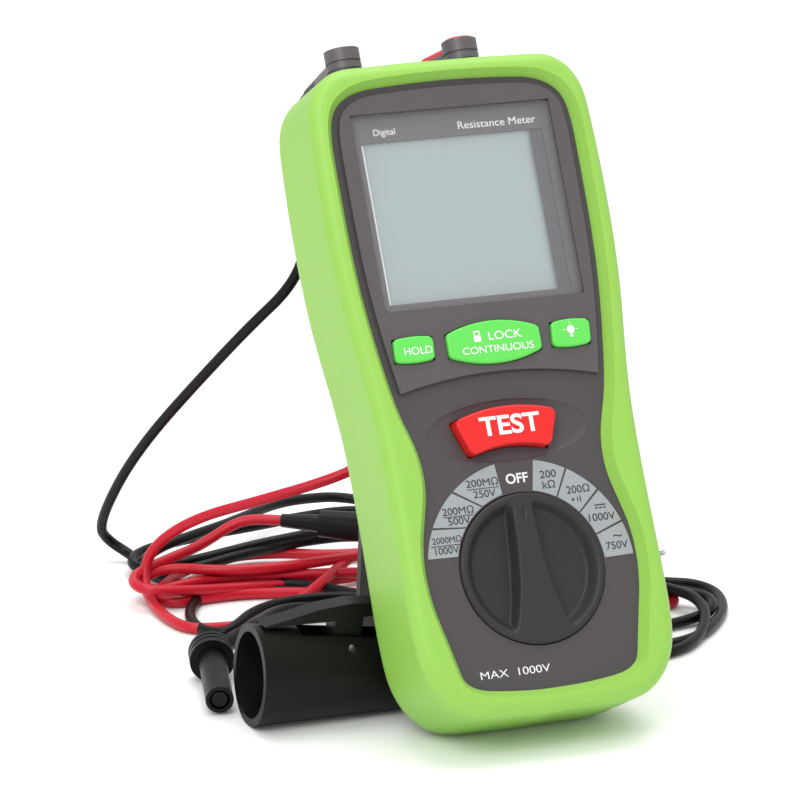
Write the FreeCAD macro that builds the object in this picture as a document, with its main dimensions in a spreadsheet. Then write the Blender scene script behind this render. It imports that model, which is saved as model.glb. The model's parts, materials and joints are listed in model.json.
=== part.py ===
"""A handheld insulation resistance tester, leaning on its tilt stand, with its
two test leads, a probe and a shrouded crocodile clip.

The tester is drawn in its own frame: x across the face, y up the face from the
bottom end, z out of the face, with the dark front panel at z = 0. One placement
then leans it back onto the floor. Leads and clip are drawn on the floor.
"""
import FreeCAD, Part
import Sketcher
import math
import os
from FreeCAD import Placement, Rotation, Vector

DOC = FreeCAD.newDocument("insulation_tester")

# ---------------------------------------------------------------- sizes (mm)

SIZES = [
    # the tester as it stands
    ("lean", 62.4, "angle of the face from the floor, degrees"),
    ("origin_x", 15.0, "moves the whole model so that its base is centred"),
    ("origin_y", -60.15, "the same, front to back"),
    ("floor_gap", 0.07, "lift that keeps the boot's round edge off the floor plane"),
    # boot (holster) and case
    ("boot_front", 3.6, "height of the boot's lip over the panel"),
    ("boot_back", 36.0, "depth of the boot behind the panel"),
    ("boot_wall", 3.2, "side wall of the boot"),
    ("boot_round_front", 4.2, "outer front rounding"),
    ("boot_round_back", 9.0, "outer back rounding"),
    ("lip_slope", 2.8, "how far the lip's inner slope spreads"),
    ("case_gap", 0.15, "gap between case and boot"),
    ("case_back", 30.0, "depth of the case behind the panel"),
    ("case_split", 14.0, "depth of the joint between the case halves"),
    ("case_wall", 2.2, "wall of both case halves"),
    ("boss_radius", 3.4, "screw bosses"),
    # display
    ("bezel_height", 1.4, "raised plate round the display"),
    ("bezel_inset", 1.9, "groove between that plate and the lip"),
    ("arch_radius", 135.0, "arch along the plate's lower edge"),
    ("arch_top", 103.9, "height of that arch up the face"),
    ("window_width", 64.6, "display window"),
    ("window_low", 125.2, "its lower edge"),
    ("window_height", 60.8, "its height"),
    ("view_width", 59.5, "what shows of the liquid crystal cell"),
    ("view_low", 127.6, "its lower edge"),
    ("view_height", 50.2, "its height"),
    ("window_gap", 0.2, "gap round the window"),
    ("board_front", 9.0, "depth of the board's front face"),
    ("board_thick", 1.6, "board thickness"),
    # buttons
    ("key_height", 2.7, "green keys over the panel"),
    ("test_height", 3.4, "red key over the panel"),
    ("key_depth", 3.2, "how far the keys reach in"),
    ("key_flange", 0.7, "flange that keeps a key in"),
    ("key_gap", 0.25, "gap round each key"),
    ("test_turn", -1.2, "red key, its middle from straight up, degrees"),
    ("test_inner", 37.6, "red key, inner radius about the knob"),
    ("test_outer", 49.4, "red key, outer radius about the knob"),
    ("test_half_angle", 19.9, "red key, half its angle, degrees"),
    # selector
    ("knob_y", 43.5, "knob centre up the face"),
    ("knob_radius", 22.9, "knob rim"),
    ("knob_gap", 0.4, "gap between the rim and the panel"),
    ("scoop_radius", 21.2, "outer radius of the sunk halves"),
    ("knob_top", 1.2, "rim and grip bar over the panel"),
    ("knob_floor", -3.2, "floor of the sunk halves"),
    ("knob_base", -4.4, "underside"),
    ("knob_flange", 24.8, "flange under the panel that keeps the knob in"),
    ("shaft_radius", 3.0, "selector shaft"),
    ("wiper_radius", 12.5, "wiper disc"),
    ("ring_inner", 14.2, "detent ring, inner radius"),
    ("ring_outer", 16.8, "detent ring, outer radius"),
    ("ball_radius", 1.4, "detent balls"),
    ("label_radius", 33.1, "outer radius of the range labels"),
    # input sockets and plugs
    ("socket_shift", -3.05, "middle socket, to the left of the face's middle"),
    ("socket_pitch", 19.45, "spacing of the three input sockets"),
    ("socket_depth", 21.7, "socket centres behind the panel"),
    ("well_radius", 5.0, "well of each socket"),
    ("contact_outer", 2.9, "brass contact, outer radius"),
    ("contact_inner", 2.05, "brass contact, bore radius"),
    ("terminal_end", 198.0, "end face of the terminal block"),
    ("well_floor", 178.0, "floor of the wells"),
    ("pin_radius", 2.0, "plug pin"),
    ("shroud_outer", 4.3, "plug shroud, outer radius"),
    ("shroud_inner", 3.1, "plug shroud, inner radius"),
    ("plug_radius", 5.5, "plug head radius"),
    ("plug_seat", 203.1, "underside of the plug heads up the face"),
    ("far_flange", 7.0, "flange of the loose plug"),
    ("plug_head", 9.4, "plug head thickness"),
    # batteries
    ("cell_radius", 7.1, "cell radius"),
    ("cell_length", 49.0, "cell body length"),
    ("cell_pitch", 15.0, "spacing of the cells"),
    ("cell_depth", 19.6, "cell axes behind the panel"),
    ("tray_low", 10.0, "battery tray, lower end"),
    ("tray_length", 111.0, "battery tray, length"),
    ("tray_width", 49.0, "battery tray, width"),
    ("door_low", 12.5, "battery door, lower end"),
    ("door_length", 114.5, "battery door, length"),
    ("door_width", 48.4, "battery door, width"),
    # tilt stand
    ("stand_width", 44.0, "stand plate"),
    ("stand_thick", 3.0, "stand plate thickness"),
    ("stand_low", 20.4, "lower end of the folded plate"),
    ("stand_pivot", 141.0, "hinge line up the face"),
    ("stand_depth", 34.2, "hinge line behind the panel"),
    ("stand_barrel", 1.9, "hinge barrel radius"),
    ("stand_pin", 1.2, "hinge pin radius"),
    ("stand_open", 33.2, "angle it opens to, degrees"),
    # leads
    ("lead_diameter", 3.5, "outer diameter of both leads"),
    ("hank_height", 12.5, "height of the loose hank"),
    # shrouded crocodile clip
    ("clip_mouth", 15.6, "outer radius at the mouth"),
    ("clip_tail", 12.4, "outer radius at the closed end"),
    ("clip_length", 49.0, "barrel length"),
    ("clip_wall", 2.4, "barrel wall"),
    ("clip_hollow", 32.0, "depth of the hollow"),
    # probe
    ("probe_length", 88.0, "handle length"),
    ("probe_guard", 7.6, "finger guard radius"),
]


def make_sheet():
    """Write the driving sizes into a spreadsheet: note, value, alias."""
    sheet = DOC.addObject("Spreadsheet::Sheet", "sizes")
    for row, (alias, value, note) in enumerate(SIZES, start=1):
        sheet.set("A%d" % row, note)
        sheet.set("B%d" % row, str(value))
        sheet.setAlias("B%d" % row, alias)
    DOC.recompute()
    return sheet


SHEET = make_sheet()


def size(alias):
    """A driving size, read back from the sheet."""
    return float(SHEET.get(alias))


# ------------------------------------------------------------ placements

def lean_placement():
    """Lean the tester's own frame back and stand its boot on the floor."""
    angle = math.radians(size("lean"))
    rounding = size("boot_round_back")
    rise = rounding * (1 - math.sin(angle)) + (size("boot_back") - rounding) * math.cos(angle)
    base = Vector(size("origin_x"), size("origin_y"), rise + size("floor_gap"))
    return Placement(base, Rotation(Vector(1, 0, 0), size("lean")))


LEANING = lean_placement()
ON_FLOOR = Placement(Vector(size("origin_x"), size("origin_y"), 0), Rotation())


def stand_placement():
    """Swing the folded stand out about its hinge line, then lean it with the tester."""
    pivot = Vector(0, size("stand_pivot"), -size("stand_depth"))
    swing = Placement(Vector(0, 0, 0), Rotation(Vector(1, 0, 0), size("stand_open")), pivot)
    return LEANING.multiply(swing)


SUB_PARTS = []


def sub_part(item, label, placement=LEANING):
    """Register a finished sub-part: its label names its node and its file."""
    item.Label = label
    SUB_PARTS.append((item, placement))
    return item


# ------------------------------------------------- small modelling helpers

AXES = {
    "z": Rotation(),
    "x": Rotation(Vector(0, 1, 0), 90),
    "y": Rotation(Vector(1, 0, 0), -90),
}


def bind(item, **formulas):
    """Bind properties of an object to formulas on the sheet."""
    for name, formula in formulas.items():
        item.setExpression(name.replace("__", "."), str(formula))
    return item


def put(item, at, axis="z"):
    """Bind an object's position to three formulas and turn it along an axis or by a rotation."""
    turn = AXES[axis] if isinstance(axis, str) else axis
    item.Placement = Placement(Vector(0, 0, 0), turn)
    for letter, formula in zip("xyz", at):
        item.setExpression("Placement.Base." + letter, str(formula))
    return item


def block(name, at, length, width, height):
    """A box from its lowest corner."""
    item = DOC.addObject("Part::Box", name)
    bind(item, Length=length, Width=width, Height=height)
    return put(item, at)


def rod(name, at, radius, height, axis="z"):
    item = DOC.addObject("Part::Cylinder", name)
    bind(item, Radius=radius, Height=height)
    return put(item, at, axis)


def cone(name, at, radius1, radius2, height, axis="z"):
    item = DOC.addObject("Part::Cone", name)
    bind(item, Radius1=radius1, Radius2=radius2, Height=height)
    return put(item, at, axis)


def ball(name, at, radius):
    item = DOC.addObject("Part::Sphere", name)
    bind(item, Radius=radius)
    return put(item, at)


def fuse(name, *items):
    item = DOC.addObject("Part::MultiFuse", name)
    item.Shapes = list(items)
    return item


def group(name, *items):
    """Separate solids that share one node."""
    item = DOC.addObject("Part::Compound", name)
    item.Links = list(items)
    return item


def cut(name, base, *tools):
    item = DOC.addObject("Part::Cut", name)
    item.Base = base
    item.Tool = tools[0] if len(tools) == 1 else group(name + "_tools", *tools)
    return item


def common(name, base, tool):
    item = DOC.addObject("Part::Common", name)
    item.Base = base
    item.Tool = tool
    return item


def round_edges(name, base, radius, pick):
    """Fillet those edges of the base that pick() accepts."""
    DOC.recompute()
    chosen = [i + 1 for i, edge in enumerate(base.Shape.Edges) if pick(edge)]
    if not chosen:
        raise ValueError(name + ": no edge to round")
    item = DOC.addObject("Part::Fillet", name)
    item.Base = base
    item.Edges = [(i, radius, radius) for i in chosen]
    return item


def at_level(level, tolerance=0.01):
    """Edges that lie flat at a height."""
    def pick(edge):
        box = edge.BoundBox
        return abs(box.ZMin - level) < tolerance and abs(box.ZMax - level) < tolerance
    return pick


def upright(edge):
    """Edges that run along z."""
    box = edge.BoundBox
    return box.ZLength > 0.2 and box.XLength < 0.01 and box.YLength < 0.01


def extrude(name, sketch, length):
    """A solid from a closed sketch, along z."""
    item = DOC.addObject("Part::Extrusion", name)
    item.Base = sketch
    item.DirMode = "Custom"
    item.Dir = Vector(0, 0, 1)
    item.Solid = True
    return bind(item, LengthFwd=length)


def sketch_of(name, curves, level):
    """A sketch of the given curves, at a bound height."""
    sketch = DOC.addObject("Sketcher::SketchObject", name)
    sketch.addGeometry(curves, False)
    sketch.setExpression("Placement.Base.z", str(level))
    return sketch


# ------------------------------------------- the two outlines of the tester

# Half the width and the height up the face, from the bottom centre to the top.
BOOT_SIDE = [
    (0, 0), (13, 0.1), (23, 0.6), (29.0, 2.0), (33.5, 4.9), (37.2, 9.2), (40.2, 16), (41.5, 26),
    (41.5, 50), (41.3, 75), (41.6, 90), (43.0, 107), (45.0, 125), (46.0, 142), (46.1, 167),
    (45.6, 181), (44.4, 190), (41.2, 196), (36.2, 199.8), (26, 201.1), (13, 201.4), (0, 201.4),
]
PANEL_SIDE = [
    (0, 7.6), (10, 7.9), (18, 8.7), (24.2, 10.1), (27.4, 12.6), (28.5, 16), (29.6, 21),
    (31.0, 27), (32.7, 34.5), (33.6, 43), (33.1, 52.5), (31.0, 61.5), (29.2, 69), (28.8, 76.5),
    (29.9, 84), (32.6, 93), (34.8, 104), (36.5, 116), (38.0, 130), (38.8, 146), (39.0, 170),
    (38.6, 181), (36.6, 187.8), (31.5, 192.0), (21, 194.0), (0, 194.7),
]


def full_outline(side, grow):
    """Mirror one side into a closed ring of points, moved outwards by grow."""
    ring = [Vector(x, y, 0) for x, y in side]
    ring += [Vector(-x, y, 0) for x, y in reversed(side[1:-1])]
    count = len(ring)
    moved = []
    for i, point in enumerate(ring):
        along = ring[(i + 1) % count] - ring[i - 1]
        outwards = Vector(along.y, -along.x, 0).normalize()
        moved.append(point + outwards * grow)
    return moved


def outline_sketch(name, side, grow, level):
    """The outline as one smooth closed curve."""
    curve = Part.BSplineCurve()
    curve.interpolate(full_outline(side, grow), PeriodicFlag=True)
    return sketch_of(name, [curve], level)


def outline_solid(name, side, grow, level, length):
    return extrude(name, outline_sketch(name + "_outline", side, grow, level), length)


def key_corners(left, right, low, high, bulge, slant):
    """Corner points and arc middles of a key with bowed top and bottom edges."""
    middle = (left + right) / 2
    return [
        Vector(left - slant, low, 0), Vector(middle, low - bulge, 0), Vector(right, low, 0),
        Vector(right + slant, high, 0), Vector(middle, high + bulge, 0), Vector(left, high, 0),
    ]


def key_sketch(name, corners, level):
    """Bottom arc, right side, top arc and left side of a key."""
    a, b, c, d, e, f = corners
    return sketch_of(name, [Part.Arc(a, b, c), Part.LineSegment(c, d),
                            Part.Arc(d, e, f), Part.LineSegment(f, a)], level)


def sector_sketch(name, inner, outer, start, end, level, first=0, last=0):
    """A ring sector about the knob, angles in degrees clockwise from straight up."""
    centre = Vector(0, size("knob_y"), 0)

    def spot(radius, angle):
        turn = math.radians(angle)
        return centre + Vector(radius * math.sin(turn), radius * math.cos(turn), 0)

    middle = (start + end) / 2
    low = spot(inner, start + first)
    high = spot(inner, end + last)
    curves = [
        Part.Arc(spot(outer, start), spot(outer, middle), spot(outer, end)),
        Part.LineSegment(spot(outer, end), high),
        Part.Arc(high, spot(inner, middle + (first + last) / 2), low),
        Part.LineSegment(low, spot(outer, start)),
    ]
    return sketch_of(name, curves, level)


# ------------------------------------------------------- bodies of plates

def origin_plane(body, role):
    return next(f for f in body.Origin.OriginFeatures if f.Role == role)


def rectangle(body, name, width, low, height, level):
    """A fully bound rectangle, centred across x, on the body's own XY plane."""
    sketch = body.newObject("Sketcher::SketchObject", name)
    sketch.AttachmentSupport = [(origin_plane(body, "XY_Plane"), "")]
    sketch.MapMode = "FlatFace"
    sketch.setExpression("AttachmentOffset.Base.z", str(level))
    corners = [Vector(-10, 5, 0), Vector(10, 5, 0), Vector(10, 15, 0), Vector(-10, 15, 0)]
    for i in range(4):
        sketch.addGeometry(Part.LineSegment(corners[i], corners[(i + 1) % 4]), False)
    for i in range(4):
        sketch.addConstraint(Sketcher.Constraint("Coincident", i, 2, (i + 1) % 4, 1))
    for line, way in ((1, "Vertical"), (2, "Horizontal"), (3, "Vertical")):
        sketch.addConstraint(Sketcher.Constraint(way, line))
    sketch.addConstraint(Sketcher.Constraint("Symmetric", 0, 1, 0, 2, -2))
    wanted = [
        ("wide", Sketcher.Constraint("DistanceX", 0, 1, 0, 2, 20.0), width),
        ("high", Sketcher.Constraint("DistanceY", 1, 1, 1, 2, 10.0), height),
        ("base", Sketcher.Constraint("DistanceY", -1, 1, 0, 1, 5.0), low),
    ]
    for title, constraint, formula in wanted:
        index = sketch.addConstraint(constraint)
        sketch.renameConstraint(index, title)
        sketch.setExpression("Constraints." + title, str(formula))
    return sketch


def plate_body(name, width, low, height, level, thick, corner=None):
    """A padded rectangular plate with rounded corners."""
    body = DOC.addObject("PartDesign::Body", name)
    pad = body.newObject("PartDesign::Pad", name + "_pad")
    pad.Profile = rectangle(body, name + "_outline", width, low, height, level)
    bind(pad, Length=thick)
    DOC.recompute()
    if corner:
        rounded = body.newObject("PartDesign::Fillet", name + "_corners")
        names = ["Edge%d" % (i + 1) for i, e in enumerate(pad.Shape.Edges) if upright(e)]
        rounded.Base = (pad, names)
        rounded.Radius = corner
        DOC.recompute()
    return body


def pocket_in(body, name, width, low, height, level, depth):
    """Cut a rectangular pocket from a level downwards, and check that it cut."""
    before = body.Shape.Volume
    pocket = body.newObject("PartDesign::Pocket", name)
    pocket.Profile = rectangle(body, name + "_outline", width, low, height, level)
    bind(pocket, Length=depth)
    DOC.recompute()
    if body.Shape.Volume >= before - 0.5:
        pocket.Reversed = True
        DOC.recompute()
    if body.Shape.Volume >= before - 0.5:
        raise ValueError(name + " cut nothing")
    return pocket


# ------------------------------------------------------------ boot and case

BOSSES = [(31.0, 23.0), (-31.0, 23.0), (36.2, 172.0), (-36.2, 172.0)]


def make_boot():
    """The soft green boot: rounded shell, sloped lip, window for door and stand."""
    solid = outline_solid("boot_blank", BOOT_SIDE, 0, "-sizes.boot_back",
                          "sizes.boot_back + sizes.boot_front")
    front = round_edges("boot_front_round", solid, size("boot_round_front"),
                        at_level(size("boot_front")))
    shell = round_edges("boot_back_round", front, size("boot_round_back"),
                        at_level(-size("boot_back")))
    cavity = outline_solid("boot_cavity", BOOT_SIDE, -size("boot_wall"),
                           "-sizes.case_back - sizes.case_gap",
                           "sizes.case_back + 2 * sizes.case_gap")
    mouth = DOC.addObject("Part::Loft", "boot_mouth")
    mouth.Sections = [
        outline_sketch("mouth_low", PANEL_SIDE, 0, -0.4),
        outline_sketch("mouth_high", PANEL_SIDE, size("lip_slope"), "sizes.boot_front + 0.4"),
    ]
    mouth.Solid = True
    mouth.Ruled = True
    half = "-(sizes.stand_width / 2 + 0.7)"
    stand_bay = block("stand_bay", (half, "sizes.door_low + 60", "-sizes.boot_back - 1"),
                      "sizes.stand_width + 1.4", "sizes.stand_pivot - sizes.door_low - 55",
                      "sizes.boot_back + 1 - 32.1")
    door_bay = block("door_bay", ("-(sizes.door_width / 2 + 0.8)", "sizes.door_low - 0.8",
                                  "-sizes.boot_back - 1"),
                     "sizes.door_width + 1.6", "sizes.door_length + 1.6", "8")
    pin_hole = rod("boot_pin_hole", ("-sizes.stand_width / 2 - 6", "sizes.stand_pivot",
                                     "-sizes.stand_depth"),
                   "sizes.stand_pin + 0.02", "sizes.stand_width + 12", "x")
    socket_slot = block("boot_socket_slot", ("sizes.socket_shift - 29.2", "190",
                                          "-sizes.socket_depth - 6.8"),
                        "58.4", "14", "13.6")
    boot = cut("holster", shell, cavity, mouth, stand_bay, door_bay, pin_hole, socket_slot)
    return sub_part(boot, "holster")


def key_openings(level, depth):
    """Cutters for the four keys, from a level upwards."""
    tools = []
    for name, corners in KEYS.items():
        grown = grow_corners(corners, size("key_gap"))
        tools.append(extrude("%s_hole_%s" % (name, level.strip("-")[:5].replace(".", "_")),
                             key_sketch("%s_hole" % name, grown, level), depth))
    return tools


def grow_corners(corners, gap):
    """Move a key's six points outwards by a gap."""
    a, b, c, d, e, f = corners
    return [a + Vector(-gap, -gap, 0), b + Vector(0, -gap, 0), c + Vector(gap, -gap, 0),
            d + Vector(gap, gap, 0), e + Vector(0, gap, 0), f + Vector(-gap, gap, 0)]


KEYS = {
    "hold_button": key_corners(-32.0, -19.6, 109.4, 116.3, 0.6, 0.4),
    "lock_button": key_corners(-15.0, 15.2, 109.2, 116.2, 3.1, 0.0),
    "light_button": key_corners(19.3, 31.3, 109.4, 116.6, 0.7, 0.6),
}


def test_sector(name, grow, level):
    """The red key's ring sector, grown by a gap."""
    more = math.degrees(grow / size("test_inner"))
    return sector_sketch(name, size("test_inner") - grow, size("test_outer") + grow,
                         size("test_turn") - size("test_half_angle") - more,
                         size("test_turn") + size("test_half_angle") + more, level)


def boss_rods(name, level, height, radius):
    return [rod("%s_%d" % (name, i), (x, y, level), radius, height)
            for i, (x, y) in enumerate(BOSSES)]


def make_front_case():
    """Front shell: panel face with openings for display, keys and knob."""
    grow = -size("boot_wall") - size("case_gap")
    blank = outline_solid("front_blank", BOOT_SIDE, grow, "-sizes.case_split", "sizes.case_split")
    inside = outline_solid("front_inside", BOOT_SIDE, grow - size("case_wall"),
                           "-sizes.case_split - 0.1", "sizes.case_split + 0.1 - sizes.case_wall")
    shell = cut("front_shell", blank, inside)
    bossed = fuse("front_bossed", shell, *boss_rods("front_boss", "-sizes.case_split",
                                                    "sizes.case_split - sizes.case_wall + 0.1",
                                                    "sizes.boss_radius"))
    window = block("front_window", ("-sizes.window_width / 2 - sizes.window_gap - 1",
                                    "sizes.window_low - sizes.window_gap - 1", "-5"),
                   "sizes.window_width + 2 * sizes.window_gap + 2",
                   "sizes.window_height + 2 * sizes.window_gap + 2", "6")
    shaft = rod("front_knob_hole", ("0", "sizes.knob_y", "-5"),
                "sizes.knob_radius + sizes.knob_gap", "6")
    test = extrude("front_test_hole", test_sector("front_test", size("key_gap"), -5), "6")
    dish = DOC.addObject("Part::Ellipsoid", "finger_dish")
    bind(dish, Radius1=1.3, Radius2=26, Radius3=9.6)
    put(dish, ("0", "sizes.knob_y + (sizes.test_inner + sizes.test_outer) / 2 - 1.2", "0"))
    holes = boss_rods("front_screw_hole", "-sizes.case_split - 1", "9.5", "1.25")
    case = cut("front_case", bossed, window, shaft, test, dish, *holes, *key_openings("-5", "6"))
    return sub_part(case, "front_case")


def make_rear_case():
    """Rear shell: battery door opening, socket slot and screw bosses."""
    grow = -size("boot_wall") - size("case_gap")
    blank = outline_solid("rear_blank", BOOT_SIDE, grow, "-sizes.case_back",
                          "sizes.case_back - sizes.case_split")
    inside = outline_solid("rear_inside", BOOT_SIDE, grow - size("case_wall"),
                           "-sizes.case_back + sizes.case_wall", "sizes.case_back")
    shell = cut("rear_shell", blank, inside)
    bossed = fuse("rear_bossed", shell, *boss_rods("rear_boss", "-sizes.case_back + 0.5",
                                                   "sizes.case_back - sizes.case_split - 0.5",
                                                   "sizes.boss_radius"))
    door = block("rear_door_hole", ("-sizes.door_width / 2 - 0.2", "sizes.door_low - 0.2",
                                    "-sizes.case_back - 1"),
                 "sizes.door_width + 0.4", "sizes.door_length + 0.4", "sizes.case_wall + 1.5")
    slot = block("rear_socket_slot", ("sizes.socket_shift - 28.3", "185",
                                      "-sizes.socket_depth - 6.1"),
                 "56.6", "20", "12.2")
    shanks = boss_rods("rear_screw_hole", "-sizes.case_back - 1", "20", "1.65")
    heads = boss_rods("rear_screw_head", "-sizes.case_back - 1", "3.2", "2.95")
    case = cut("rear_case", bossed, door, slot, *shanks, *heads)
    return sub_part(case, "rear_case")


def make_case_screws():
    """Four screws that pull the rear shell to the front one."""
    screws = []
    for i, (x, y) in enumerate(BOSSES):
        head = rod("case_head_%d" % i, (x, y, "-sizes.case_back + 0.4"), "2.7", "1.8")
        shank = rod("case_shank_%d" % i, (x, y, "-sizes.case_back + 1"), "1.2", "22")
        cross = block("case_cross_%d" % i, (x - 1.6, y - 0.3, "-sizes.case_back"), "3.2", "0.6", "1.4")
        screws.append(cut("case_screw_%d" % i, fuse("case_screw_blank_%d" % i, head, shank), cross))
    return sub_part(group("case_screws", *screws), "case_screws")


# ----------------------------------------------------------------- display

def make_display():
    """Raised bezel plate, window, liquid crystal cell, backlight and connectors."""
    plate = outline_solid("bezel_blank", PANEL_SIDE, -size("bezel_inset"), "0", "sizes.bezel_height")
    above = rod("bezel_arch", ("0", "sizes.arch_top - sizes.arch_radius", "-1"),
                "sizes.arch_radius", "sizes.bezel_height + 2")
    arched = cut("bezel_arched", plate, above)
    skirt = block("bezel_skirt", ("-sizes.window_width / 2 - 1.1", "sizes.window_low - 1.1",
                                  "-2.2"),
                  "sizes.window_width + 2.2", "sizes.window_height + 2.2", "2.4")
    window = block("bezel_window", ("-sizes.window_width / 2 - sizes.window_gap",
                                    "sizes.window_low - sizes.window_gap", "-1.3"),
                   "sizes.window_width + 2 * sizes.window_gap",
                   "sizes.window_height + 2 * sizes.window_gap", "4")
    view = block("bezel_view", ("-sizes.view_width / 2", "sizes.view_low", "-3"),
                 "sizes.view_width", "sizes.view_height", "3")
    bezel = cut("display_bezel", fuse("bezel_whole", arched, skirt), window, view,
                *key_openings("-0.5", "3"))
    sub_part(bezel, "display_bezel")
    window_body = plate_body("display_window", "sizes.window_width", "sizes.window_low",
                             "sizes.window_height", "-1.2", "2.0", 1.2)
    sub_part(window_body, "display_window")
    glass = plate_body("lcd_glass", "sizes.view_width + 2.4", "sizes.view_low - 1.6",
                       "sizes.view_height + 3.2", "-4.6", "2.2")
    sub_part(glass, "lcd_glass")
    light = plate_body("backlight", "sizes.view_width", "sizes.view_low + 2.4",
                       "sizes.view_height - 4.8", "-7.2", "2.5")
    sub_part(light, "backlight")
    strips = [block("zebra_strip_%d" % i, ("-28", y, "-sizes.board_front"), "56", "1.8",
                    "sizes.board_front - 4.65")
              for i, y in enumerate(("sizes.view_low", "sizes.view_low + sizes.view_height - 1.8"))]
    sub_part(group("zebra_strips", *strips), "zebra_strips")


def make_keys():
    """Three green keys and the red one, each with a flange under the face."""
    for name, corners in KEYS.items():
        cap = extrude(name + "_cap", key_sketch(name + "_outline", corners, "-sizes.key_depth"),
                      "sizes.key_depth + sizes.key_height")
        soft = round_edges(name + "_sides", cap, 1.7, upright)
        soft = round_edges(name + "_top", soft, 0.7, at_level(size("key_height")))
        flange = extrude(name + "_flange",
                         key_sketch(name + "_skirt", grow_corners(corners, size("key_flange")),
                                    "-sizes.key_depth"),
                         "sizes.key_depth - sizes.case_wall - 0.2")
        sub_part(fuse(name, soft, flange), name)
    cap = extrude("test_cap", test_sector("test_outline", 0, "-sizes.key_depth"),
                  "sizes.key_depth + sizes.test_height")
    soft = round_edges("test_sides", cap, 2.2, upright)
    soft = round_edges("test_top", soft, 0.9, at_level(size("test_height")))
    flange = extrude("test_flange", test_sector("test_skirt", size("key_flange"),
                                                "-sizes.key_depth"),
                     "sizes.key_depth - sizes.case_wall - 0.2")
    stem = rod("test_stem", ("0", "sizes.knob_y + 43", "-4.4"), "2", "2")
    sub_part(fuse("test_button", soft, flange, stem), "test_button")


def make_switches():
    """Silicone mat under the green keys and a tactile switch under each key."""
    mat = plate_body("keypad_mat", "66", "104", "17", "-5.4", "1.0", 2.0)
    sub_part(mat, "keypad_mat")
    spots = [(-25.4, 113), (0, 113), (25.4, 113), (0, "sizes.knob_y + 43")]
    switches = []
    for i, (x, y) in enumerate(spots):
        base = block("switch_base_%d" % i, (x - 3, "(%s) - 3" % y, "-sizes.board_front"),
                     "6", "6", "2.4")
        plunger = rod("switch_plunger_%d" % i, (x, y, "-sizes.board_front + 2.4"), "1.7", "1.1")
        switches.append(fuse("switch_%d" % i, base, plunger))
    sub_part(group("tact_switches", *switches), "tact_switches")


# ---------------------------------------------------------------- selector

RIGHT_STEP = 20.0
LEFT_STEP = 23.4
DETENTS = [-3 * LEFT_STEP, -2 * LEFT_STEP, -LEFT_STEP, 0,
           RIGHT_STEP, 2 * RIGHT_STEP, 3 * RIGHT_STEP, 4 * RIGHT_STEP]


# Edge of the grip bar, from its narrow end to its wide end.
BAR_EDGE = [(2.9, 21.0), (3.2, 11.0), (4.2, 0.0), (5.9, -10.0), (9.4, -19.0)]


def knob_scoop(side):
    """One sunk half of the knob, beside the grip bar."""
    centre = Vector(0, size("knob_y"), 0)
    edge = Part.BSplineCurve()
    edge.interpolate([centre + Vector(side * x, y, 0) for x, y in BAR_EDGE])
    middle = centre + Vector(side * size("scoop_radius"), 0, 0)
    rim = Part.Arc(edge.EndPoint, middle, edge.StartPoint)
    sketch = sketch_of("scoop_edge_%d" % (side + 2), [edge, rim], "sizes.knob_floor")
    return extrude("knob_scoop_%d" % (side + 2), sketch, "8")


def make_knob():
    """Flush round knob: rim, two sunk halves that leave a flared grip bar, flange below."""
    centre = ("0", "sizes.knob_y")
    disc = rod("knob_disc", (*centre, "sizes.knob_base"), "sizes.knob_radius",
               "sizes.knob_top - sizes.knob_base")
    disc = round_edges("knob_rim_round", disc, 0.6, at_level(size("knob_top")))
    flange = rod("knob_flange_ring", (*centre, "sizes.knob_base"), "sizes.knob_flange", "1.9")
    bore = rod("knob_bore", (*centre, "-5"), "sizes.shaft_radius", "3.4")
    sub_part(cut("selector_knob", fuse("knob_blank", disc, flange), bore, knob_scoop(-1),
                 knob_scoop(1)), "selector_knob")
    sub_part(rod("shaft_rod", (*centre, "-8.4"), "sizes.shaft_radius", "6.8"), "knob_shaft")


def make_wiper():
    """Disc that carries the contacts round, with two sprung balls in its rim."""
    centre = ("0", "sizes.knob_y")
    disc = rod("wiper_blank", (*centre, "-8.5"), "sizes.wiper_radius", "3.4")
    hole = rod("wiper_hole", (*centre, "-9"), "sizes.shaft_radius", "6")
    bores, balls, springs = [], [], []
    for i, side in enumerate((-1, 1)):
        left = "-sizes.wiper_radius - 1" if side < 0 else "6"
        bores.append(rod("ball_bore_%d" % i, (left, "sizes.knob_y", "-6.8"),
                         "sizes.ball_radius + 0.1", "sizes.wiper_radius - 5", "x"))
        balls.append(ball("detent_ball_%d" % i,
                          (side * (size("ring_inner") - size("ball_radius") - 0.1),
                           "sizes.knob_y", "-6.8"), "sizes.ball_radius"))
        start = -11.2 if side < 0 else 6.3
        sleeve = rod("spring_outer_%d" % i, (start, "sizes.knob_y", "-6.8"), "1.2", "4.9", "x")
        core = rod("spring_inner_%d" % i, (start - 1, "sizes.knob_y", "-6.8"), "0.8", "7", "x")
        springs.append(cut("detent_spring_%d" % i, sleeve, core))
    sub_part(cut("wiper_disc", disc, hole, *bores), "wiper_disc")
    sub_part(group("detent_balls", *balls), "detent_balls")
    sub_part(group("detent_springs", *springs), "detent_springs")


def make_detent_ring():
    """Ring on the board with a notch at every range for the balls to drop into."""
    centre = ("0", "sizes.knob_y")
    ring = rod("ring_blank", (*centre, "-sizes.board_front"), "sizes.ring_outer", "4.4")
    hollow = rod("ring_hollow", (*centre, "-sizes.board_front - 1"), "sizes.ring_inner", "7")
    notches = []
    for i, angle in enumerate(DETENTS):
        for side in (0, 180):
            turn = math.radians(90 - angle + side)
            x = size("ring_inner") * math.cos(turn)
            y = size("knob_y") + size("ring_inner") * math.sin(turn)
            notches.append(rod("notch_%d_%d" % (i, side), (x, y, "-sizes.board_front - 1"),
                               "1.1", "7"))
    sub_part(cut("detent_ring", ring, hollow, *notches), "detent_ring")


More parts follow.
